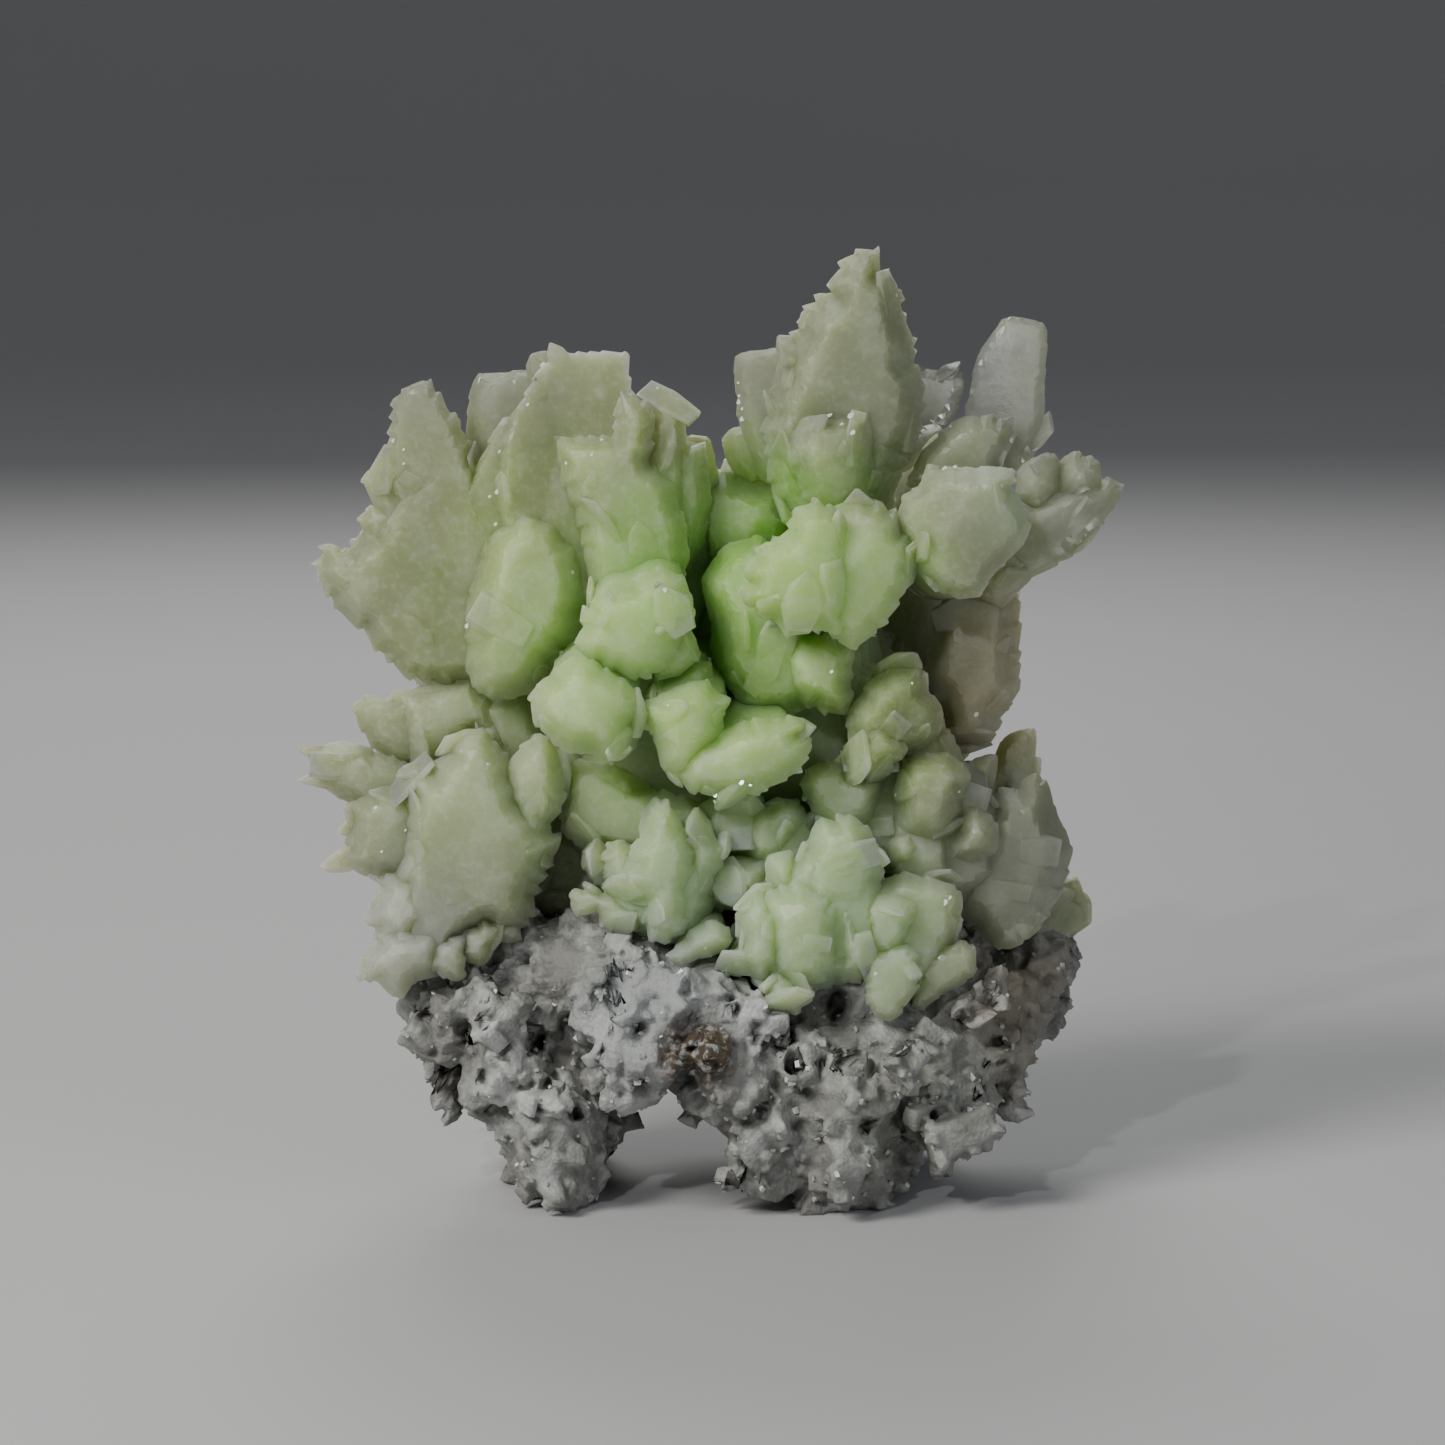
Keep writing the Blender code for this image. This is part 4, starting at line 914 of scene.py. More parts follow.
def rosette(rng, crystal, ragged):
    """The end of a bud: discs of falling size along its axis, each tilted a little."""
    root, tip, width, thick, form, facing, _ = crystal
    along, across, through = unit_frame(root, tip, facing)
    length = (tip - root).length
    stack = STUB_ROSETTE if form == "stub" else ROSETTE
    hexagon = 0.95 if form == "stub" else 0.45
    discs = []
    for share, size in stack:
        centre = root + along * (share * length)
        centre = centre + (across * rng.uniform(-1, 1) + through * rng.uniform(-1, 1)) * (0.03 * width)
        tilt = Vector((rng.uniform(-1, 1), rng.uniform(-1, 1), rng.uniform(-1, 1))) * 0.10
        axis = (along + tilt).normalized()
        flat_across = (across - axis * across.dot(axis)).normalized()
        disc_thick = length * 0.13 + 0.5
        halves = (size * width / 2, size * thick / 2)
        discs.append(disc(rng, centre, axis, flat_across, *halves, disc_thick, hexagon, ragged * 1.4))
    return discs


print("Discs in a rosette:", len(ROSETTE))

# %% Crystals of a spray
CRYSTAL_SEED = 41
LEAST_WIDTH_WITH_SIDES = 5.4


def side_crystals(rng, crystal):
    """Smaller crystals that grow along the flanks of a wide one, nearly parallel to it."""
    root, tip, width, thick, form, facing, _ = crystal
    if width < LEAST_WIDTH_WITH_SIDES or form in ROUND_FORMS or form == "chisel":
        return []
    along, across, through = unit_frame(root, tip, facing)
    length = (tip - root).length
    sides = []
    for k in range(round(width / 1.6)):
        side = 1 if k % 2 else -1
        share = rng.uniform(0.50, 0.93)
        size = width * rng.uniform(0.28, 0.46)
        out = reach(form, share) * width / 2 - 0.34 * size + rng.uniform(-0.15, 0.30)
        end = root + along * (share * length + 0.3 * size) + across * (side * out)
        end = end + through * (rng.uniform(-0.30, 0.30) * thick)
        start = end - (along + across * (side * rng.uniform(0.10, 0.40))) * (size * 2.4)
        shape = rng.choice(("flame", "lens", "chisel"))
        sides.append((start, end, size, thick * rng.uniform(0.34, 0.55), shape, facing, 0.0))
    return sides


def front_parts(blades, knobs, seed):
    """The blades and knobs of a spray, each a closed part of its own."""
    rng = random.Random(seed)
    parts = []
    for blade in blades.values():
        parts += mass(rng, *blade)
    for root, *knob in knobs.values():
        parts += mass(rng, *knob, root=root)
    return parts


def back_parts(crystals, seed):
    """The plates of the crystals behind and inside a spray."""
    parts = []
    for number, (root, tip, *rest) in enumerate(crystals):
        rng = random.Random(seed + number)
        crystal = (Vector(placed(root)), Vector(placed(tip)), *rest)
        for each in [crystal, *side_crystals(rng, crystal)]:
            ragged = RAGGEDNESS[each[4]]
            parts += bundle(rng, each, ragged)
            if each[4] in ROUND_FORMS:
                parts += rosette(rng, each, ragged)
    return parts


# %% [markdown]
# ## Growing together
# Real crystals in a bundle share one body of mineral, and light wanders through it from one to the next. Blades
# that only overlap would show their hidden ends through the milky material. A voxel remesh swallows them: it
# rebuilds the outside as one closed skin. A little smoothing then eases its corners.

# %% Remeshing a spray
BACK_VOXEL = 0.16
BACK_SMOOTHING = 1
MOST_BACK_TRIANGLES = 70000
MOST_TRIANGLES = 190000
SWELL = (("wide_swell", 3.4, 0.16), ("small_swell", 1.2, 0.04))


def object_of(name, points, faces):
    data = bpy.data.meshes.new(name)
    data.from_pydata(points.tolist(), [], faces)
    data.update()
    item = bpy.data.objects.new(name, data)
    bpy.context.scene.collection.objects.link(item)
    return item


def cloud_texture(name, size, depth=2):
    """A soft noise for a Displace modifier, with lumps of that size."""
    texture = bpy.data.textures.get(name) or bpy.data.textures.new(name, "CLOUDS")
    texture.noise_scale = size
    texture.noise_depth = depth
    return texture


def apply_modifiers(item):
    graph = bpy.context.evaluated_depsgraph_get()
    made = bpy.data.meshes.new_from_object(item.evaluated_get(graph))
    item.modifiers.clear()
    old = item.data
    item.data = made
    bpy.data.meshes.remove(old)
    made.name = item.name


def grow_together(item, voxel, smoothing=0):
    """One closed skin round everything in the mesh, with its corners eased."""
    remesh = item.modifiers.new("remesh", "REMESH")
    remesh.mode = "VOXEL"
    remesh.voxel_size = voxel
    if smoothing:
        ease = item.modifiers.new("ease", "SMOOTH")
        ease.factor = 0.5
        ease.iterations = smoothing
    apply_modifiers(item)


SHARP_ANGLE = math.radians(21)


def union_of(first, second):
    """Two closed bodies as one closed skin, with a crisp edge where they meet."""
    step = first.modifiers.new("union", "BOOLEAN")
    step.operation = "UNION"
    step.solver = "MANIFOLD"
    step.object = second
    apply_modifiers(first)
    spent = second.data
    bpy.data.objects.remove(second)
    bpy.data.meshes.remove(spent)
    return first


def united(items):
    """Many closed bodies as one: they are joined two by two until one is left."""
    while len(items) > 1:
        whole_pairs = len(items) // 2 * 2
        items = [union_of(*pair) for pair in zip(items[:whole_pairs:2], items[1::2])] + items[whole_pairs:]
    return items[0]


def thin_out(item, most):
    """Takes triangles out of the flat places until there are no more than that."""
    share = most / triangles(item)
    if share < 1:
        item.modifiers.new("thin", "DECIMATE").ratio = share
        apply_modifiers(item)


def swell(item, lumps):
    """Gentle lumps: each has a name, a size and a height in millimetres."""
    for name, size, strength in lumps:
        step = item.modifiers.new(name, "DISPLACE")
        step.texture = cloud_texture(name, size)
        step.texture_coords = "LOCAL"
        step.strength = strength
        step.mid_level = 0.5
    apply_modifiers(item)


def to_metres(item):
    """Scales the mesh to metres, keeps it above the floor and shades it smooth."""
    points = np.empty(len(item.data.vertices) * 3)
    item.data.vertices.foreach_get("co", points)
    points = points.reshape(-1, 3) * MM
    points[:, 2] = np.maximum(points[:, 2], 0.0)
    item.data.vertices.foreach_set("co", points.ravel())
    item.data.shade_smooth()
    item.data.update()


def triangles(item):
    item.data.calc_loop_triangles()
    return len(item.data.loop_triangles)


# %% Places on a mesh
def surface_places(data, count, rng):
    """Random places on a mesh, even by area, with the way that the surface looks there."""
    data.calc_loop_triangles()
    corners = np.empty(len(data.loop_triangles) * 3, np.int32)
    data.loop_triangles.foreach_get("vertices", corners)
    points = np.empty(len(data.vertices) * 3)
    data.vertices.foreach_get("co", points)
    a, b, c = points.reshape(-1, 3)[corners.reshape(-1, 3)].transpose(1, 0, 2)
    normals = np.cross(b - a, c - a)
    areas = np.linalg.norm(normals, axis=1)
    chosen = rng.choice(len(areas), count, p=areas / areas.sum())
    u, v = rng.random((2, count, 1))
    flip = u + v > 1
    u, v = np.where(flip, 1 - u, u), np.where(flip, 1 - v, v)
    places = a[chosen] + u * (b - a)[chosen] + v * (c - a)[chosen]
    return places, normals[chosen] / areas[chosen][:, None]


print("Places on a mesh are drawn evenly by area")

# %% Small crystals on the masses
SCALES = {"barite_upper_left": 150, "barite_upper_right": 150, "barite_lower": 300}
SCALE_LENGTHS = (1.5, 4.0)
SCALE_HEART = np.array((0.0, 2.0, 24.0))


def scales(data, count, seed):
    """Thin small crystals that lie on a mesh with their tips a little raised, pointing away from the heart."""
    rng = random.Random(seed)
    parts = []
    for place, outward in zip(*surface_places(data, count, np.random.default_rng(seed))):
        outward = Vector(outward)
        along = Vector(place - SCALE_HEART) + Vector([rng.gauss(0, 6) for _ in range(3)])
        along = (along - outward * along.dot(outward)).normalized()
        length = rng.uniform(*SCALE_LENGTHS)
        root = Vector(place) - along * (0.55 * length) - outward * 0.45
        tip = Vector(place) + along * (0.45 * length) + outward * rng.uniform(-0.10, 0.20)
        facing = outward + Vector([rng.gauss(0, 0.10) for _ in range(3)])
        form = rng.choice(("flame", "chisel", "spear"))
        wide = length * rng.uniform(0.50, 0.85)
        points, faces = plate(rng, root, tip, wide, rng.uniform(0.5, 0.8), form, facing, jag=0.06)
        parts.append((points, [face[::-1] for face in faces]))
    return parts


sprays = []
for number, (name, tables) in enumerate(SPRAYS.items()):
    blades, knobs, crystals = tables
    seed = CRYSTAL_SEED + 100 * number
    back = object_of("back", *joined(back_parts(crystals, seed)))
    grow_together(back, BACK_VOXEL, BACK_SMOOTHING)
    thin_out(back, MOST_BACK_TRIANGLES)
    spray = united([*(object_of("front", *part) for part in front_parts(blades, knobs, seed)), back])
    spray = united([*(object_of("scale", *part) for part in scales(spray.data, SCALES[name], seed)), spray])
    spray.name = name
    print(name, triangles(spray), "triangles before thinning")
    thin_out(spray, MOST_TRIANGLES)
    to_metres(spray)
    spray.data.set_sharp_from_angle(angle=SHARP_ANGLE)
    sprays.append(spray)
    print(name, triangles(spray), "triangles")

# %% [markdown]
# ## The matrix
# The rock under the crystals is a crust of tiny grey crystals over a lumpy, hollow mass. The CAD solid gives the
# masses, the tunnel and the feet. Several thousand small angular blocks are strewn over a copy of it, in three
# sizes, and a remesh joins the two larger sizes to the rock. The smallest stay as crisp crystals on top, where
# they catch the light.

# %% Strewing small blocks
ROCK_SEED = 67
CORNER_SHIFT = 0.20
BLOCK_KINDS = 12
# Each size: how many, and the least and greatest half size in millimetres.
LUMPS = (330, 0.80, 2.1)
GRAINS = (2600, 0.26, 0.85)
SPARKS = (1500, 0.10, 0.26)
FOOT_CLEARANCE = 0.5


def angular_block(rng):
    """A closed block with flat faces, about two units across: a box whose corners are pushed out of true."""
    mesh = bmesh.new()
    for corner in itertools.product((-0.72, 0.72), repeat=3):
        mesh.verts.new(Vector(c + rng.gauss(0, CORNER_SHIFT) for c in corner))
    hull = bmesh.ops.convex_hull(mesh, input=mesh.verts)
    inside = [v for v in hull["geom_interior"] if isinstance(v, bmesh.types.BMVert)]
    bmesh.ops.delete(mesh, geom=inside, context="VERTS")
    mesh.verts.index_update()
    points = np.array([v.co for v in mesh.verts])
    faces = [tuple(v.index for v in face.verts) for face in mesh.faces]
    mesh.free()
    return points, faces


def strewn(data, blocks, size, rng):
    """Small blocks all over a mesh, half sunk in it, as one list of points and faces."""
    count, least, greatest = size
    places, outwards = surface_places(data, count, rng)
    parts = []
    for place, outward in zip(places, outwards):
        half = least + (greatest - least) * rng.random() ** 2
        if place[2] < FOOT_CLEARANCE and outward[2] < -0.9:
            continue
        points, faces = blocks[rng.integers(len(blocks))]
        stretch = half * rng.uniform(0.6, 1.35, 3)
        turn, _ = np.linalg.qr(rng.normal(size=(3, 3)))
        turned = (points * stretch) @ (turn * np.sign(np.linalg.det(turn)))
        parts.append((turned + place + outward * half * rng.uniform(-0.35, 0.35), faces))
    return joined(parts)


hull_rng = random.Random(ROCK_SEED)
blocks = [angular_block(hull_rng) for _ in range(BLOCK_KINDS)]
print("Kinds of block:", len(blocks))

# %% Building the rock
ROCK_VOXEL = 0.17
ROCK_SWELL = (("rock_grit", 0.5, 0.05),)
# The dark hollows that the photograph shows: places in its frame, across and down, and how wide each is.
VUGS = (
    (400, 1022, 11), (425, 1015, 10), (465, 1035, 13), (568, 1025, 13), (542, 1050, 19), (545, 1085, 10),
    (640, 1032, 12), (650, 1000, 10), (690, 985, 10), (778, 1043, 13), (766, 1105, 11), (868, 1018, 13),
    (862, 1127, 14), (975, 1012, 20), (998, 1042, 13), (967, 932, 11), (1000, 955, 13), (690, 1020, 8),
    (705, 1035, 7), (698, 1052, 8), (714, 1062, 7), (702, 1078, 6), (840, 1004, 20), (600, 1062, 9),
    (735, 1010, 9), (820, 1062, 8), (905, 1045, 10), (930, 1100, 10), (640, 1080, 10), (480, 1075, 9),
)
OTHER_VUGS = 130
OTHER_VUG_REACH = (0.4, 1.2)
VUG_STEEPNESS = 2.4
PARTS_OF_VUG = 2


def points_and_faces(data, scale):
    points = np.empty(len(data.vertices) * 3)
    data.vertices.foreach_get("co", points)
    return points.reshape(-1, 3) * scale, [tuple(polygon.vertices) for polygon in data.polygons]


def seen_at(tree, across, down):
    """Where the camera's line through a place in the photograph's frame meets a mesh, in millimetres."""
    eye = VIEW_CENTRE + backwards * VIEW_DISTANCE
    aim = placed(((across - FRAME_MIDDLE) * FRAME_STEP, 0.0, (FRAME_FOOT - down) * FRAME_STEP))
    return tree.ray_cast(eye, (Vector(aim) - eye).normalized())[0]


def sink(points, normals, place, inward, reach, stretch):
    """Pushes a hollow with steep walls into the points near a place."""
    off = points - place
    along = off @ inward
    away = np.linalg.norm((off - along[:, None] * inward) * stretch, axis=1)
    wall = np.clip((1 - away / reach) * VUG_STEEPNESS, 0, 1)
    wall *= (np.abs(along) < 2 * reach) & (normals @ inward < 0)
    points += inward * (wall * (0.2 + 1.0 * reach))[:, None]


def hollow_out(item, rng):
    """The hollows that the photograph shows, and others all round."""
    points, faces = points_and_faces(item.data, 1.0)
    normals = np.empty(points.size)
    item.data.vertices.foreach_get("normal", normals)
    normals = normals.reshape(-1, 3)
    tree = BVHTree.FromPolygons(points.tolist(), faces)
    hollows = []
    for across, down, wide in VUGS:
        place = seen_at(tree, across, down)
        if place is not None:
            hollows.append((np.array(place), -np.array(backwards), wide * FRAME_STEP))
    places, outwards = surface_places(item.data, OTHER_VUGS, rng)
    for place, outward in zip(places, outwards):
        if place[2] > FOOT_CLEARANCE:
            hollows.append((place, -outward, rng.uniform(*OTHER_VUG_REACH)))
    for place, inward, reach in hollows:
        for _ in range(PARTS_OF_VUG):
            shift = rng.normal(0, 0.4 * reach, 3)
            sink(points, normals, place + shift, inward, reach * 0.75, rng.uniform(0.6, 1.5, 3))
    item.data.vertices.foreach_set("co", points.ravel())
    item.data.update()
    return len(hollows)


solid_rock = points_and_faces(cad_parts["matrix"].data, 1 / MM)
rock = object_of("matrix_rock", *solid_rock)
place_rng = np.random.default_rng(ROCK_SEED)
lumps = strewn(rock.data, blocks, LUMPS, place_rng)
bpy.data.objects.remove(rock)
rock = object_of("matrix_rock", *joined([solid_rock, lumps]))
grow_together(rock, ROCK_VOXEL * 1.6)
grains = strewn(rock.data, blocks, GRAINS, place_rng)
rough_rock = points_and_faces(rock.data, 1.0)
bpy.data.objects.remove(rock)
rock = object_of("matrix_rock", *joined([rough_rock, grains]))
grow_together(rock, ROCK_VOXEL)
thin_out(rock, MOST_TRIANGLES)
swell(rock, ROCK_SWELL)
print("Hollows in the rock:", hollow_out(rock, place_rng))
sparks = object_of("matrix_sparks", *strewn(rock.data, blocks, SPARKS, place_rng))
to_metres(rock)
to_metres(sparks)
sparks.data.shade_flat()
print("matrix_rock", triangles(rock), "triangles, matrix_sparks", triangles(sparks))

# %% [markdown]
# ## Glints
# Here and there a tiny crystal face mirrors the lamp and sparkles. Each is a thin six-sided flake that lies half
# sunk in the surface. Those that the photograph shows are turned half-way between the camera and the small
# lamp, as a face that sparkles must be, and others lie all round, turned as the surface happens to be.

# %% Flakes that sparkle
GLINT_SEED = 83
GLINT_PLACES = (
    (394, 441), (404, 450), (404, 464), (500, 452), (498, 492), (490, 497), (468, 626), (543, 365), (528, 405),
    (592, 455), (602, 440), (567, 463), (739, 383), (740, 396), (740, 402), (743, 409), (743, 419), (830, 415),
    (851, 416), (842, 425), (853, 433), (945, 469), (955, 468), (982, 363), (832, 672), (912, 684), (742, 783),
    (751, 785), (716, 796), (950, 898), (945, 903), (940, 958), (376, 808), (382, 852), (495, 992), (706, 948),
    (645, 938), (628, 973), (876, 974), (766, 1007), (662, 1013), (680, 1102), (533, 1160), (517, 1165),
)
OTHER_GLINTS = 30
GLINT_SIZES = (0.10, 0.26)
GLINT_HALF_THICKNESS = 0.04
GLINT_TILT = 0.35
FLAKE_CORNERS = 6


def flake(rng, place, outward):
    """A thin six-sided plate whose broad face looks that way."""
    size = rng.uniform(*GLINT_SIZES)
    across = outward.orthogonal().normalized()
    over = outward.cross(across)
    turn = rng.uniform(0, math.tau)
    rings = []
    for level in (-GLINT_HALF_THICKNESS, GLINT_HALF_THICKNESS):
        for k in range(FLAKE_CORNERS):
            angle = turn + math.tau * k / FLAKE_CORNERS
            rim = across * (math.cos(angle) * size) + over * (math.sin(angle) * size * 0.7)
            rings.append(place + rim + outward * level)
    return np.array(rings), ring_faces(2, FLAKE_CORNERS)


flake_rng = random.Random(GLINT_SEED)
mirror_way = (backwards + (Vector(LAMPS["spark"][0]) - VIEW_CENTRE).normalized()).normalized()
carriers = joined([points_and_faces(piece.data, 1 / MM) for piece in [*sprays, rock]])
tree = BVHTree.FromPolygons(carriers[0].tolist(), carriers[1])
spots = [seen_at(tree, *place) for place in GLINT_PLACES]
flakes = [flake(flake_rng, spot, mirror_way) for spot in spots if spot is not None]
for spray in sprays:
    places, outwards = surface_places(spray.data, OTHER_GLINTS, place_rng)
    for place, outward in zip(places, outwards):
        shift = Vector([flake_rng.gauss(0, GLINT_TILT) for _ in range(3)])
        flakes.append(flake(flake_rng, Vector(place / MM), (Vector(outward) + shift).normalized()))
glints = object_of("barite_glints", *joined(flakes))
to_metres(glints)
glints.data.shade_flat()
print("Flakes that sparkle:", len(flakes))

# %% [markdown]
# ## Barite
# The mineral is milky: light goes in, wanders and comes out near by, which is what a subsurface shader does. At
# the thin tips the milk is weak and the dark room behind shows, so a second, clearer shader is mixed in there.
# The colour is deepest yellow-green in the heart and fades to grey at the tips. It is a set of soft tints, each a
# ball of colour round a place in the specimen, that a noise breaks up. The deep green round the heart is painted
# glow, and the lighter balls on the front masses are painted light where the lamp falls on them; the grey and
# brown ones are the mineral's own colour.

# %% Tints and painted light of the barite
# Each tint: centre and reach in millimetres, and its colour. The deep green of the heart is painted glow, the
# lighter ones in front are painted light, and the grey and brown ones are the mineral's own colour.
BARITE_COLOUR = (0.27, 0.30, 0.185, 1.0)
BARITE_TINTS_AND_PAINTED_LIGHT = (
    ((-12.0, -2.0, 40.0), 12.0, (0.26, 0.31, 0.115, 1.0)),
    ((-2.0, -10.0, 34.0), 15.0, (0.42, 0.60, 0.23, 1.0)),
    ((3.5, -4.0, 38.5), 11.5, (0.22, 0.43, 0.075, 1.0)),
    ((8.0, -12.0, 38.5), 8.0, (0.42, 0.60, 0.22, 1.0)),
    ((12.0, -7.0, 30.0), 6.0, (0.20, 0.25, 0.10, 1.0)),
    ((19.0, -9.0, 46.0), 5.0, (0.36, 0.43, 0.29, 1.0)),
    ((6.0, -14.0, 19.0), 11.0, (0.40, 0.53, 0.29, 1.0)),
    ((-3.0, -14.0, 19.0), 8.0, (0.38, 0.50, 0.29, 1.0)),
    ((-15.0, -10.0, 27.0), 7.0, (0.36, 0.42, 0.25, 1.0)),
    ((18.0, -2.0, 33.0), 8.0, (0.36, 0.325, 0.195, 1.0)),
    ((-4.0, -14.0, 14.5), 5.0, (0.36, 0.42, 0.34, 1.0)),
    ((-21.0, -9.0, 17.0), 6.0, (0.37, 0.39, 0.33, 1.0)),
)
# Each clear place: centre and reach in millimetres, and how much of the milk is gone there.
CLEAR_PLACES = (
    ((19.0, 0.5, 52.0), 9.0, 0.62),
    ((2.5, -1.5, 52.0), 5.0, 0.55),
    ((14.5, -0.5, 52.5), 4.5, 0.40),
    ((-13.0, -2.5, 52.0), 5.5, 0.50),
    ((-19.5, -4.0, 52.0), 4.5, 0.45),
    ((24.0, -3.0, 44.0), 6.5, 0.35),
    ((20.5, -4.0, 22.5), 8.0, 0.60),
    ((17.0, -1.0, 34.0), 7.0, 0.35),
)
MILK_ROUGHNESS = 0.50
SCATTER_WAY = (1.0, 1.0, 0.60)
SCATTER_SCALE = 0.0072
BARITE_IOR = 1.60

barite, barite_end, here = start_material("barite")


def soft_ball(here, centre, reach_mm, waver):
    """A mask that is 1 at the centre and fades to 0 at the reach, with a wavering edge."""
    shifted = here.node(
        "ShaderNodeVectorMath", {"operation": "SUBTRACT"}, {0: here, 1: tuple(c * MM for c in centre)}
    )
    away = here.node("ShaderNodeVectorMath", {"operation": "LENGTH"}, {0: shifted}, output="Value")
    level = (1.25 - away / (reach_mm * MM) + (waver - 0.5) * 0.5).clamped()
    return level * level * (3 - level * 2)


waver = here.node("ShaderNodeTexNoise", {}, {"Vector": here, "Scale": 260.0, "Detail": 1.0})
colour = here.node("ShaderNodeRGB")
colour.output.default_value = BARITE_COLOUR
# Painted glow and light go into the base colour here, mixed with the mineral's own tints.
for centre, reach_mm, tint in BARITE_TINTS_AND_PAINTED_LIGHT:
    colour = soft_ball(here, centre, reach_mm, waver).blend(colour, tint)
cloud = here.node("ShaderNodeTexNoise", {}, {"Vector": here, "Scale": 600.0, "Detail": 3.0})
veil = here.node("ShaderNodeTexNoise", {}, {"Vector": here, "Scale": 2400.0, "Detail": 2.0})
milk = ((cloud - 0.45) * 2.6).clamped() * 0.22 + ((veil - 0.5) * 2.5).clamped() * 0.20
colour = milk.clamped().blend(colour, (0.70, 0.74, 0.64, 1.0))
print("Tints:", len(BARITE_TINTS_AND_PAINTED_LIGHT))

# %% Relief and gloss of the barite
ripple = here.node("ShaderNodeTexNoise", {}, {"Vector": here, "Scale": 1700.0, "Detail": 3.0, "Roughness": 0.7})
bump = here.node("ShaderNodeBump", {}, {"Height": ripple, "Strength": 0.55, "Distance": 0.00014})
gloss = (MILK_ROUGHNESS + (cloud - 0.5) * 0.30).clamped()
milky = here.node(
    "ShaderNodeBsdfPrincipled",
    {"subsurface_method": "RANDOM_WALK"},
    {
        "Base Color": colour,
        "Roughness": gloss,
        "Normal": bump,
        "IOR": BARITE_IOR,
        "Subsurface Weight": 1.0,
        "Subsurface Radius": SCATTER_WAY,
        "Subsurface Scale": SCATTER_SCALE,
        "Specular IOR Level": 0.35,
    },
)
clear = here.node(
    "ShaderNodeBsdfPrincipled",
    {},
    {
        "Base Color": (0.84, 0.86, 0.80, 1.0),
        "Roughness": 0.34,
        "Normal": bump,
        "IOR": BARITE_IOR,
        "Transmission Weight": 0.85,
    },
)
CLEAR_FROM = 21.0
CLEAR_OVER = 16.0
CLEAR_MOST = 0.30
from_heart = here.node(
    "ShaderNodeVectorMath", {"operation": "SUBTRACT"}, {0: here, 1: (0.0, 0.0, 30.0 * MM)}
)
away = here.node("ShaderNodeVectorMath", {"operation": "LENGTH"}, {0: from_heart}, output="Value")
clearness = ((away / MM - CLEAR_FROM) / CLEAR_OVER).clamped() * CLEAR_MOST * (0.4 + cloud)
for centre, reach_mm, share in CLEAR_PLACES:
    clearness = clearness + soft_ball(here, centre, reach_mm, waver) * share * (0.6 + cloud * 0.8)
crystal = here.node("ShaderNodeMixShader", {}, {0: clearness.clamped(), 1: milky, 2: clear})
here.tree.links.new(crystal.output, barite_end.inputs["Surface"])
print("Barite is ready")

# %% [markdown]
# ## Matrix
# The rock is light grey with a small rusty patch where iron has weathered out, and its hollows are painted near
# black as shade. Pointiness tells the nodes where the mesh is hollow. A fine cell pattern tilts the surface a
# little from cell to cell, and that is what makes it glitter.

# %% Nodes of the matrix
MATRIX_LIGHT = (0.49, 0.50, 0.48, 1.0)
MATRIX_DARK = (0.19, 0.19, 0.175, 1.0)
# Near black, painted as shade into the hollows.
HOLLOW_PAINTED_SHADE = (0.030, 0.028, 0.024, 1.0)
RUST = (0.075, 0.052, 0.030, 1.0)
RUST_PLACE = (-0.9, -15.2, 10.8)
RUST_REACH = 3.0
# Each tint of the rock: centre and reach in millimetres, and its colour.
ROCK_TINTS = (
    ((19.5, -5.0, 12.5), 7.0, (0.25, 0.21, 0.145, 1.0)),
    ((12.0, -10.0, 6.0), 7.0, (0.29, 0.30, 0.26, 1.0)),
    ((-4.0, -14.0, 13.0), 6.0, (0.40, 0.425, 0.43, 1.0)),
)

matrix, matrix_end, here = start_material("matrix_rock")
patches = here.node("ShaderNodeTexNoise", {}, {"Vector": here, "Scale": 330.0, "Detail": 5.0, "Roughness": 0.6})
speckle = here.node("ShaderNodeTexNoise", {}, {"Vector": here, "Scale": 2200.0, "Detail": 4.0})
geometry = here.node("ShaderNodeNewGeometry", output="Pointiness")
# Painted shade: where pointiness says the mesh is hollow, the colour goes near black.
hollow = ((0.50 - geometry) * 14).clamped()
regions = here.node("ShaderNodeTexNoise", {}, {"Vector": here, "Scale": 120.0, "Detail": 1.0})
shade = ((patches - 0.44) * 3.0 + (speckle - 0.5) * 0.8 + (regions - 0.5) * 1.6).clamped()
rock_colour = shade.blend(MATRIX_DARK, MATRIX_LIGHT)
rock_colour = (hollow * 0.85).blend(rock_colour, HOLLOW_PAINTED_SHADE)
rust = soft_ball(here, RUST_PLACE, RUST_REACH, speckle)
for place, reach_mm, tint in ROCK_TINTS:
    rock_colour = (soft_ball(here, place, reach_mm, regions) * 0.6).blend(rock_colour, tint)
rock_colour = ((rust * 1.5).clamped() * ((speckle - 0.33) * 6).clamped()).blend(rock_colour, RUST)
grit = here.node("ShaderNodeTexVoronoi", {"feature": "F1"}, {"Vector": here, "Scale": 3600.0}, output="Distance")
rock_bump = here.node(
    "ShaderNodeBump", {}, {"Height": speckle * 0.5 + grit * 0.5, "Strength": 0.7, "Distance": 0.00016}
)
rock_shader = here.node(
    "ShaderNodeBsdfPrincipled",
    {},
    {
        "Base Color": rock_colour,
        "Roughness": (0.62 - (patches - 0.5) * 0.5).clamped(),
        "Normal": rock_bump,
        "IOR": 1.55,
    },
)
here.tree.links.new(rock_shader.output, matrix_end.inputs["Surface"])
print("Matrix is ready")

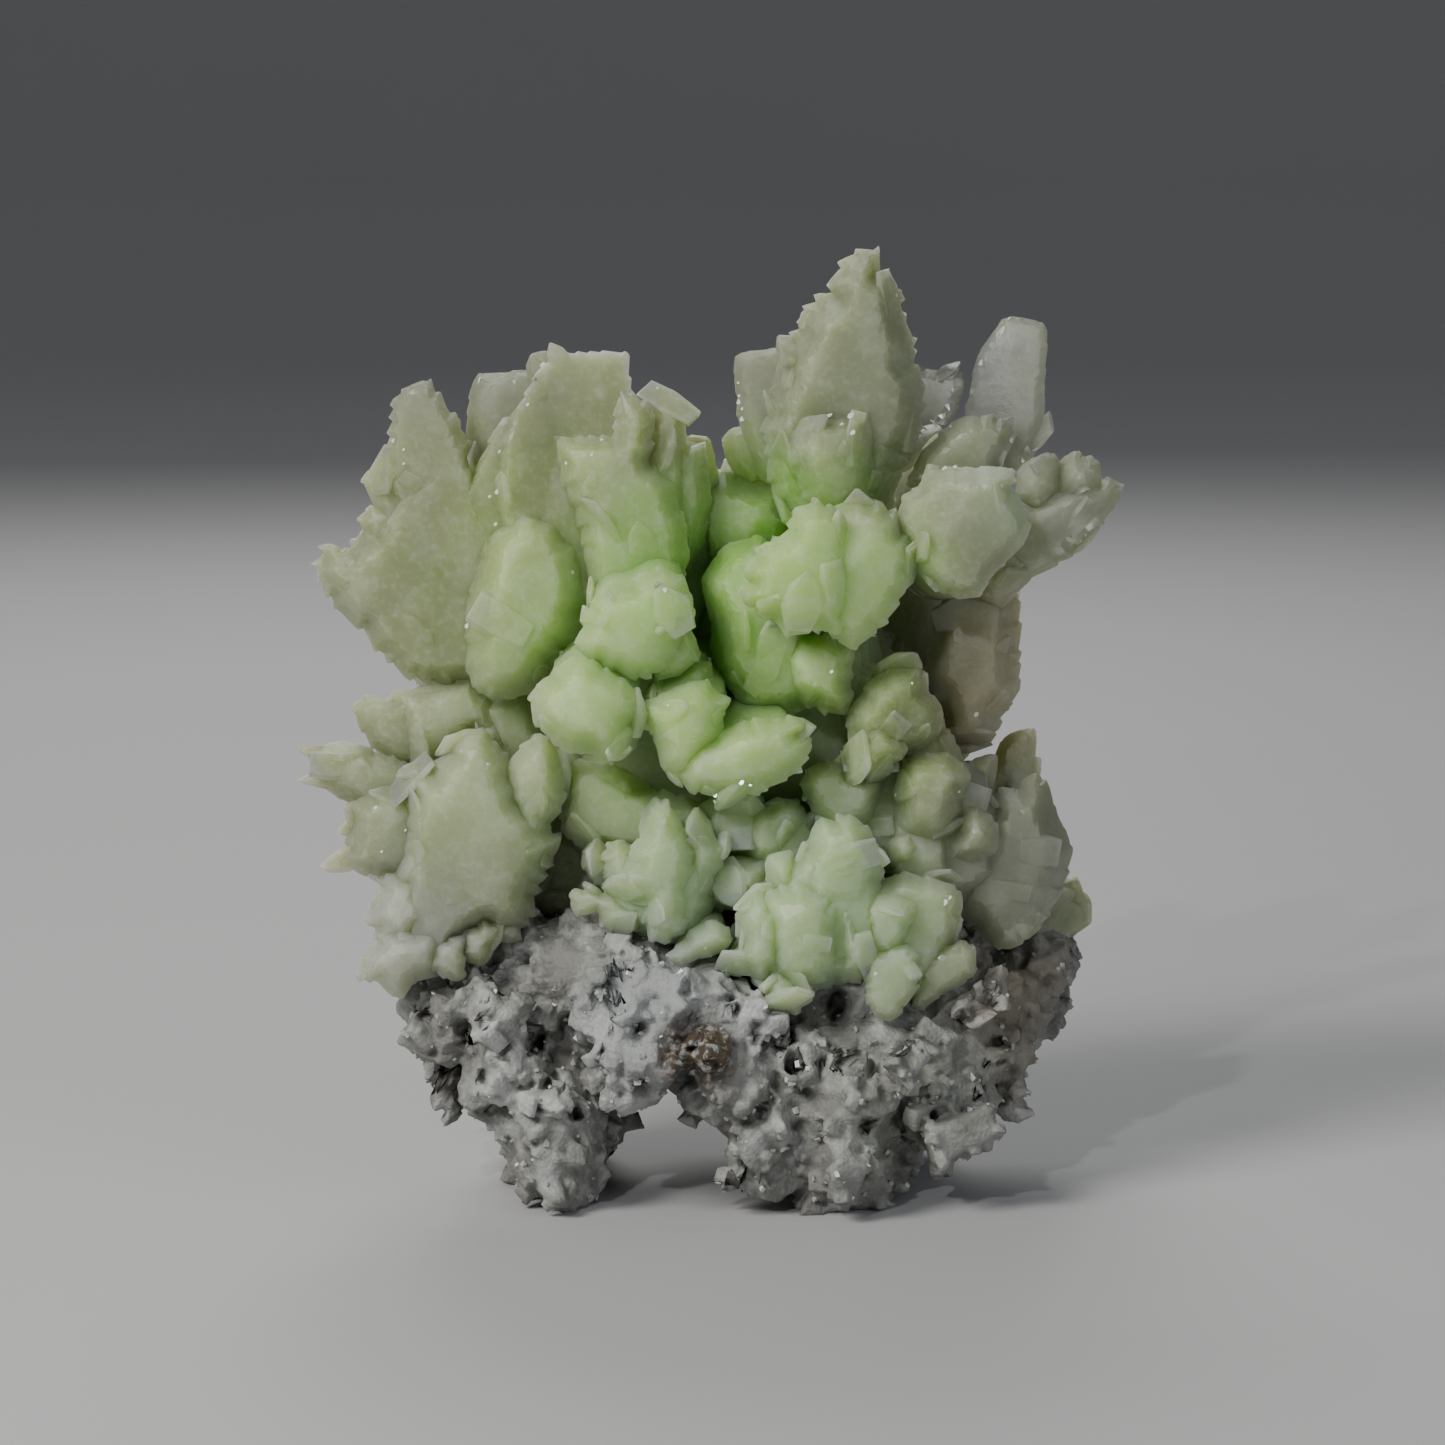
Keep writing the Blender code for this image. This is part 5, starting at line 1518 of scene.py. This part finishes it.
# %% Nodes of the sparkling grains
GRAIN_COLOUR = (0.52, 0.53, 0.50, 1.0)

grains_material, grains_end, here = start_material("matrix_grains")
speckle = here.node("ShaderNodeTexNoise", {}, {"Vector": here, "Scale": 1500.0, "Detail": 3.0})
rust = soft_ball(here, RUST_PLACE, RUST_REACH, speckle)
grain_colour = ((speckle - 0.35) * 3).clamped().blend((0.30, 0.30, 0.28, 1.0), GRAIN_COLOUR)
grain_colour = rust.blend(grain_colour, tuple(1.5 * c for c in RUST[:3]) + (1.0,))
grain_shader = here.node(
    "ShaderNodeBsdfPrincipled",
    {},
    {
        "Base Color": grain_colour,
        "Roughness": (0.10 + speckle * 0.35).clamped(),
        "IOR": BARITE_IOR,
    },
)
here.tree.links.new(grain_shader.output, grains_end.inputs["Surface"])
print("Grains are ready")

# %% Nodes of the glints
glint_material, glint_end, here = start_material("barite_glints")
speckle = here.node("ShaderNodeTexNoise", {}, {"Vector": here, "Scale": 3000.0, "Detail": 2.0})
glint_colour = speckle.blend((0.55, 0.66, 0.50, 1.0), (0.90, 0.94, 0.88, 1.0))
glint_shader = here.node(
    "ShaderNodeBsdfPrincipled",
    {},
    {"Base Color": glint_colour, "Roughness": (0.04 + speckle * 0.10).clamped(), "IOR": BARITE_IOR},
)
here.tree.links.new(glint_shader.output, glint_end.inputs["Surface"])
print("Glints are ready")

# %% [markdown]
# ## Putting it on the frame
# Each piece rides on the specimen's one body and takes its finish, and the CAD solid that it stands for is hidden.

# %% Riding, replacing and finishes
for spray in sprays:
    spray.data.materials.clear()
    spray.data.materials.append(barite)
    spray.data.polygons.foreach_set("material_index", [0] * len(spray.data.polygons))
    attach(spray, "root")
    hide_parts("barite_crystals")
glints.data.materials.append(glint_material)
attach(glints, "root")
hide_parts("barite_crystals")
for piece, material in ((rock, matrix), (sparks, grains_material)):
    piece.data.materials.append(material)
    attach(piece, "root")
    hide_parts("matrix")

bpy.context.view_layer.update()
print("Triangles in all:", sum(triangles(piece) for piece in [*sprays, glints, rock, sparks]))
